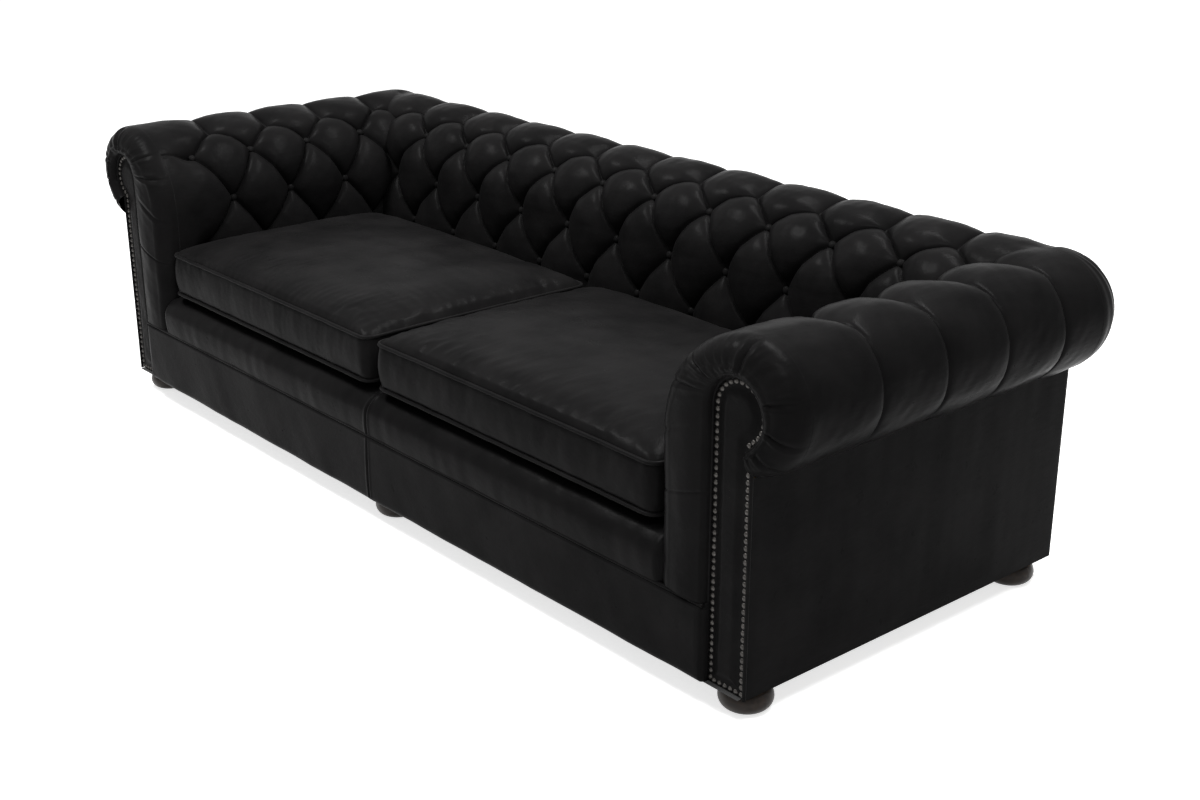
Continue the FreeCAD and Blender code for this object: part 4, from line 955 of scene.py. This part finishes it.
# how far the edges are drawn in, and the room left for the cloth step to swell
EDGE_INSET = 0.010
SWELL_ROOM = 0.004
SWELL_CAP = 0.009
VOXEL_SIZE = 0.0075
CLOTH_PRESSURE = 4.0
CLOTH_FRAMES = 20
PIPING_RADIUS = 0.0042
PIPING_GAP = 0.001

def cushion_outline(inset, count=440):
    """A rounded rectangle in plan, drawn in by an inset."""
    low_x, high_x = CUSHION_LOW.x + inset, CUSHION_HIGH.x - inset
    low_y, high_y = CUSHION_LOW.y + inset, CUSHION_HIGH.y - inset
    corner = max(CUSHION_CORNER - inset * 0.6, 0.012)
    line = []
    centres = ((high_x - corner, low_y + corner, -90), (high_x - corner, high_y - corner, 0),
               (low_x + corner, high_y - corner, 90), (low_x + corner, low_y + corner, 180))
    for centre_x, centre_y, start in centres:
        for angle in np.radians(np.linspace(start, start + 90, 12)):
            line.append((centre_x + corner * math.cos(angle), centre_y + corner * math.sin(angle)))
    return evenly_spaced(np.array(line + line[:1]), count, endpoint=False)


def crown_height(points):
    """How far the cushion's top stands over its upper edge."""
    centre_x = (CUSHION_LOW.x + CUSHION_HIGH.x) / 2
    centre_y = (CUSHION_LOW.y + CUSHION_HIGH.y) / 2
    across = np.clip(np.abs(points[:, 0] - centre_x) / (CUSHION_HIGH.x - centre_x), 0, 1)
    deep = np.clip(np.abs(points[:, 1] - centre_y) / (CUSHION_HIGH.y - centre_y), 0, 1)
    return CUSHION_CROWN * ((1 - across ** 4.0) * (1 - deep ** 3.0)) ** 0.6


def cushion_rings():
    """The cushion before its cloth step: rings from the middle of its underside to that of its top."""
    rings = []
    middle = cushion_outline(0.2).mean(axis=0)
    for share in (0.02, 0.3, 0.6, 0.85):
        outline = middle + (cushion_outline(0.012) - middle) * share
        rings.append(np.column_stack([outline, np.full(len(outline), CUSHION_LOW.z + SWELL_ROOM)]))
    side_high = CUSHION_SIDE_TOP - CUSHION_LOW.z
    for share in np.linspace(0, 1, 12):
        bulge = CUSHION_BULGE * math.sin(math.pi * share)
        outline = cushion_outline(EDGE_INSET + SWELL_ROOM - bulge)
        level = CUSHION_LOW.z + SWELL_ROOM + (side_high - SWELL_ROOM) * share
        rings.append(np.column_stack([outline, np.full(len(outline), level)]))
    edge = cushion_outline(EDGE_INSET + SWELL_ROOM)
    for share in np.linspace(0.97, 0.02, 22):
        outline = middle + (edge - middle) * share
        rings.append(np.column_stack([outline, CUSHION_SIDE_TOP + crown_height(outline)]))
    return np.array(rings)


def inflate(piece):
    """Cloth under pressure, its moves capped, then applied."""
    scene = bpy.context.scene
    bpy.context.view_layer.objects.active = piece
    remesh = piece.modifiers.new("remesh", "REMESH")
    remesh.mode = "VOXEL"
    remesh.voxel_size = VOXEL_SIZE
    bpy.ops.object.modifier_apply(modifier=remesh.name)
    start = np.array([vertex.co[:] for vertex in piece.data.vertices])
    cloth = piece.modifiers.new("cloth", "CLOTH")
    cloth.settings.use_pressure = True
    cloth.settings.uniform_pressure_force = CLOTH_PRESSURE
    cloth.settings.effector_weights.gravity = 0.0
    cloth.settings.quality = 5
    cloth.point_cache.frame_start = 1
    cloth.point_cache.frame_end = CLOTH_FRAMES
    for number in range(1, CLOTH_FRAMES + 1):
        scene.frame_set(number)
    evaluated = piece.evaluated_get(bpy.context.evaluated_depsgraph_get())
    moved = np.array([vertex.co[:] for vertex in evaluated.data.vertices])
    piece.modifiers.remove(cloth)
    scene.frame_set(1)
    step = moved - start
    length = np.linalg.norm(step, axis=1)
    step *= np.minimum(1, SWELL_CAP / np.maximum(length, 1e-9))[:, None]
    return start + step


def wrinkled(points, seed):
    """Fine creases behind the edges and across the joint, and slow waves on the crown."""
    from_edge = np.minimum(np.minimum(points[:, 0] - CUSHION_LOW.x, CUSHION_HIGH.x - points[:, 0]),
                           points[:, 1] - CUSHION_LOW.y)
    on_top = smooth(CUSHION_SIDE_TOP - 0.01, CUSHION_SIDE_TOP + 0.004, points[:, 2])
    near_joint = np.exp(-(points[:, 0] - CUSHION_LOW.x) / 0.10)
    near_front = np.exp(-(points[:, 1] - CUSHION_LOW.y) / 0.09)
    across = wave_noise(points * np.array([0.35, 1.6, 0.4]), 0.035, seed)
    along = wave_noise(points * np.array([1.6, 0.35, 0.4]), 0.035, seed + 1)
    slow = wave_noise(points, 0.30, seed + 2)
    creases = 0.0016 * across * near_joint + 0.0016 * along * near_front
    lift = creases * smooth(0.004, 0.02, from_edge) * on_top
    lift = lift + 0.0025 * slow * on_top * smooth(0.02, 0.15, from_edge)
    side = 0.0010 * wave_noise(points * np.array([1.0, 1.0, 0.5]), 0.08, seed + 3) * (1 - on_top)
    moved = points.copy()
    moved[:, 2] += lift
    moved[:, 1] -= side * (points[:, 1] < CUSHION_LOW.y + 0.03)
    return moved


def piping_line(tree, level):
    """A line round the cushion at a level, just outside its leather."""
    path = []
    for outline in cushion_outline(0.0):
        nearest = tree.find_nearest(Vector((outline[0], outline[1], level)))
        outward = Vector((outline[0], outline[1], level)) - nearest[0]
        outward.z = 0
        outward = outward.normalized() * PIPING_GAP
        path.append((nearest[0].x + outward.x, nearest[0].y + outward.y, level))
    path = np.array(path)
    for _ in range(4):
        path = (np.roll(path, 1, axis=0) + path * 2 + np.roll(path, -1, axis=0)) / 4
    path[:, 0] = np.clip(path[:, 0], CUSHION_LOW.x + PIPING_RADIUS, CUSHION_HIGH.x - PIPING_RADIUS)
    path[:, 1] = np.minimum(path[:, 1], CUSHION_HIGH.y - PIPING_RADIUS)
    return path


def cushions():
    rings = cushion_rings()
    for side, seed in (("right", 101), ("left", 112)):
        faces = [tuple(face) for face in grid_faces(len(rings), rings.shape[1], close_columns=True)]
        faces.append(tuple(range(rings.shape[1] - 1, -1, -1)))
        last = (len(rings) - 1) * rings.shape[1]
        faces.append(tuple(range(last, last + rings.shape[1])))
        piece = mesh_piece(f"{side}_cushion", rings.reshape(-1, 3), faces, LEATHER)
        points = inflate(piece)
        points = wrinkled(points, seed)
        points = np.clip(points, np.array([CUSHION_LOW.x, CUSHION_LOW.y - 0.006, CUSHION_LOW.z + 0.0004]),
                         np.array([CUSHION_HIGH.x, CUSHION_HIGH.y, CUSHION_HIGH.z + 0.01]))
        piece.data.vertices.foreach_set("co", points.ravel())
        piece.data.update()
        piece.data.polygons.foreach_set("use_smooth", [True] * len(piece.data.polygons))
        tree = BVHTree.FromPolygons([Vector(point) for point in points],
                                    [tuple(face.vertices) for face in piece.data.polygons])
        parts = [tube_part(piping_line(tree, level), PIPING_RADIUS, closed=True)
                 for level in (CUSHION_LOW.z + 0.009, CUSHION_SIDE_TOP + 0.001)]
        welts = joined_piece(f"{side}_cushion_piping", parts, WELT_LEATHER)
        if side == "left":
            for mirrored in (piece, welts):
                for vertex in mirrored.data.vertices:
                    vertex.co.x = -vertex.co.x
                mirrored.data.flip_normals()
        smoother = piece.modifiers.new("smooth", "SUBSURF")
        smoother.levels = 1
        smoother.render_levels = 1
        finish_piece(piece, f"{side}_cushion", "leather", f"{side}_cushion_cover", f"{side}_cushion_core")
        finish_piece(welts, f"{side}_cushion", "leather", f"{side}_cushion_welts")


cushions()


# Camera, light and floor


def make_camera():
    data = bpy.data.cameras.new("camera")
    data.lens = 50.0
    data.sensor_width = 36.0
    data.sensor_fit = "HORIZONTAL"
    data.dof.use_dof = False
    data.clip_end = 100.0
    camera = bpy.data.objects.new("camera", data)
    camera.location = (2.9568, -2.3477, 1.5920)
    camera.rotation_euler = (math.radians(69.393), 0.0, math.radians(49.423))
    bpy.context.scene.collection.objects.link(camera)
    bpy.context.scene.camera = camera


def area_light(name, place, target, width, height, power):
    data = bpy.data.lights.new(name, "AREA")
    data.shape = "RECTANGLE"
    data.size = width
    data.size_y = height
    data.energy = power
    lamp = bpy.data.objects.new(name, data)
    lamp.location = place
    lamp.rotation_euler = (Vector(target) - Vector(place)).to_track_quat("-Z", "Y").to_euler()
    bpy.context.scene.collection.objects.link(lamp)


def seen_directly(nodes, links):
    """1 for camera, glossy and transmission rays, else 0."""
    path = nodes.new("ShaderNodeLightPath")
    seen = path.outputs["Is Camera Ray"]
    for ray in ("Is Glossy Ray", "Is Transmission Ray"):
        either = nodes.new("ShaderNodeMath")
        either.operation = "MAXIMUM"
        links.new(seen, either.inputs[0])
        links.new(path.outputs[ray], either.inputs[1])
        seen = either.outputs[0]
    return seen


def make_world():
    world = bpy.data.worlds.new("studio")
    bpy.context.scene.world = world
    world.use_nodes = True
    nodes = world.node_tree.nodes
    links = world.node_tree.links
    background = nodes["Background"]
    background.inputs["Color"].default_value = (1, 1, 1, 1)
    strength = remap(nodes, links, seen_directly(nodes, links), 0.35, 1.0)
    links.new(strength, background.inputs["Strength"])


def make_floor():
    size = 30.0
    points = [(-size, -size, 0), (size, -size, 0), (size, size, 0), (-size, size, 0)]
    material, nodes, links, shader = new_material("floor")
    shader.inputs["Base Color"].default_value = (0.86, 0.86, 0.86, 1)
    shader.inputs["Roughness"].default_value = 0.9
    shader.inputs["Specular IOR Level"].default_value = 0.1
    shader.inputs["Emission Color"].default_value = (1, 1, 1, 1)
    links.new(remap(nodes, links, seen_directly(nodes, links), 0.0, 0.7), shader.inputs["Emission Strength"])
    floor = mesh_piece("floor", points, [(0, 1, 2, 3)], material, smooth_shade=False)


make_camera()
make_world()
make_floor()
area_light("key", (-1.6, -1.5, 3.9), (0.0, 0.0, 0.4), 1.6, 0.8, 170)
area_light("fill", (2.6, -1.3, 3.6), (0.9, 0.0, 0.4), 1.2, 0.6, 60)
area_light("top", (0.6, 0.9, 3.6), (0.3, 0.0, 0.5), 2.6, 0.6, 150)
bpy.context.scene.view_settings.view_transform = "Standard"
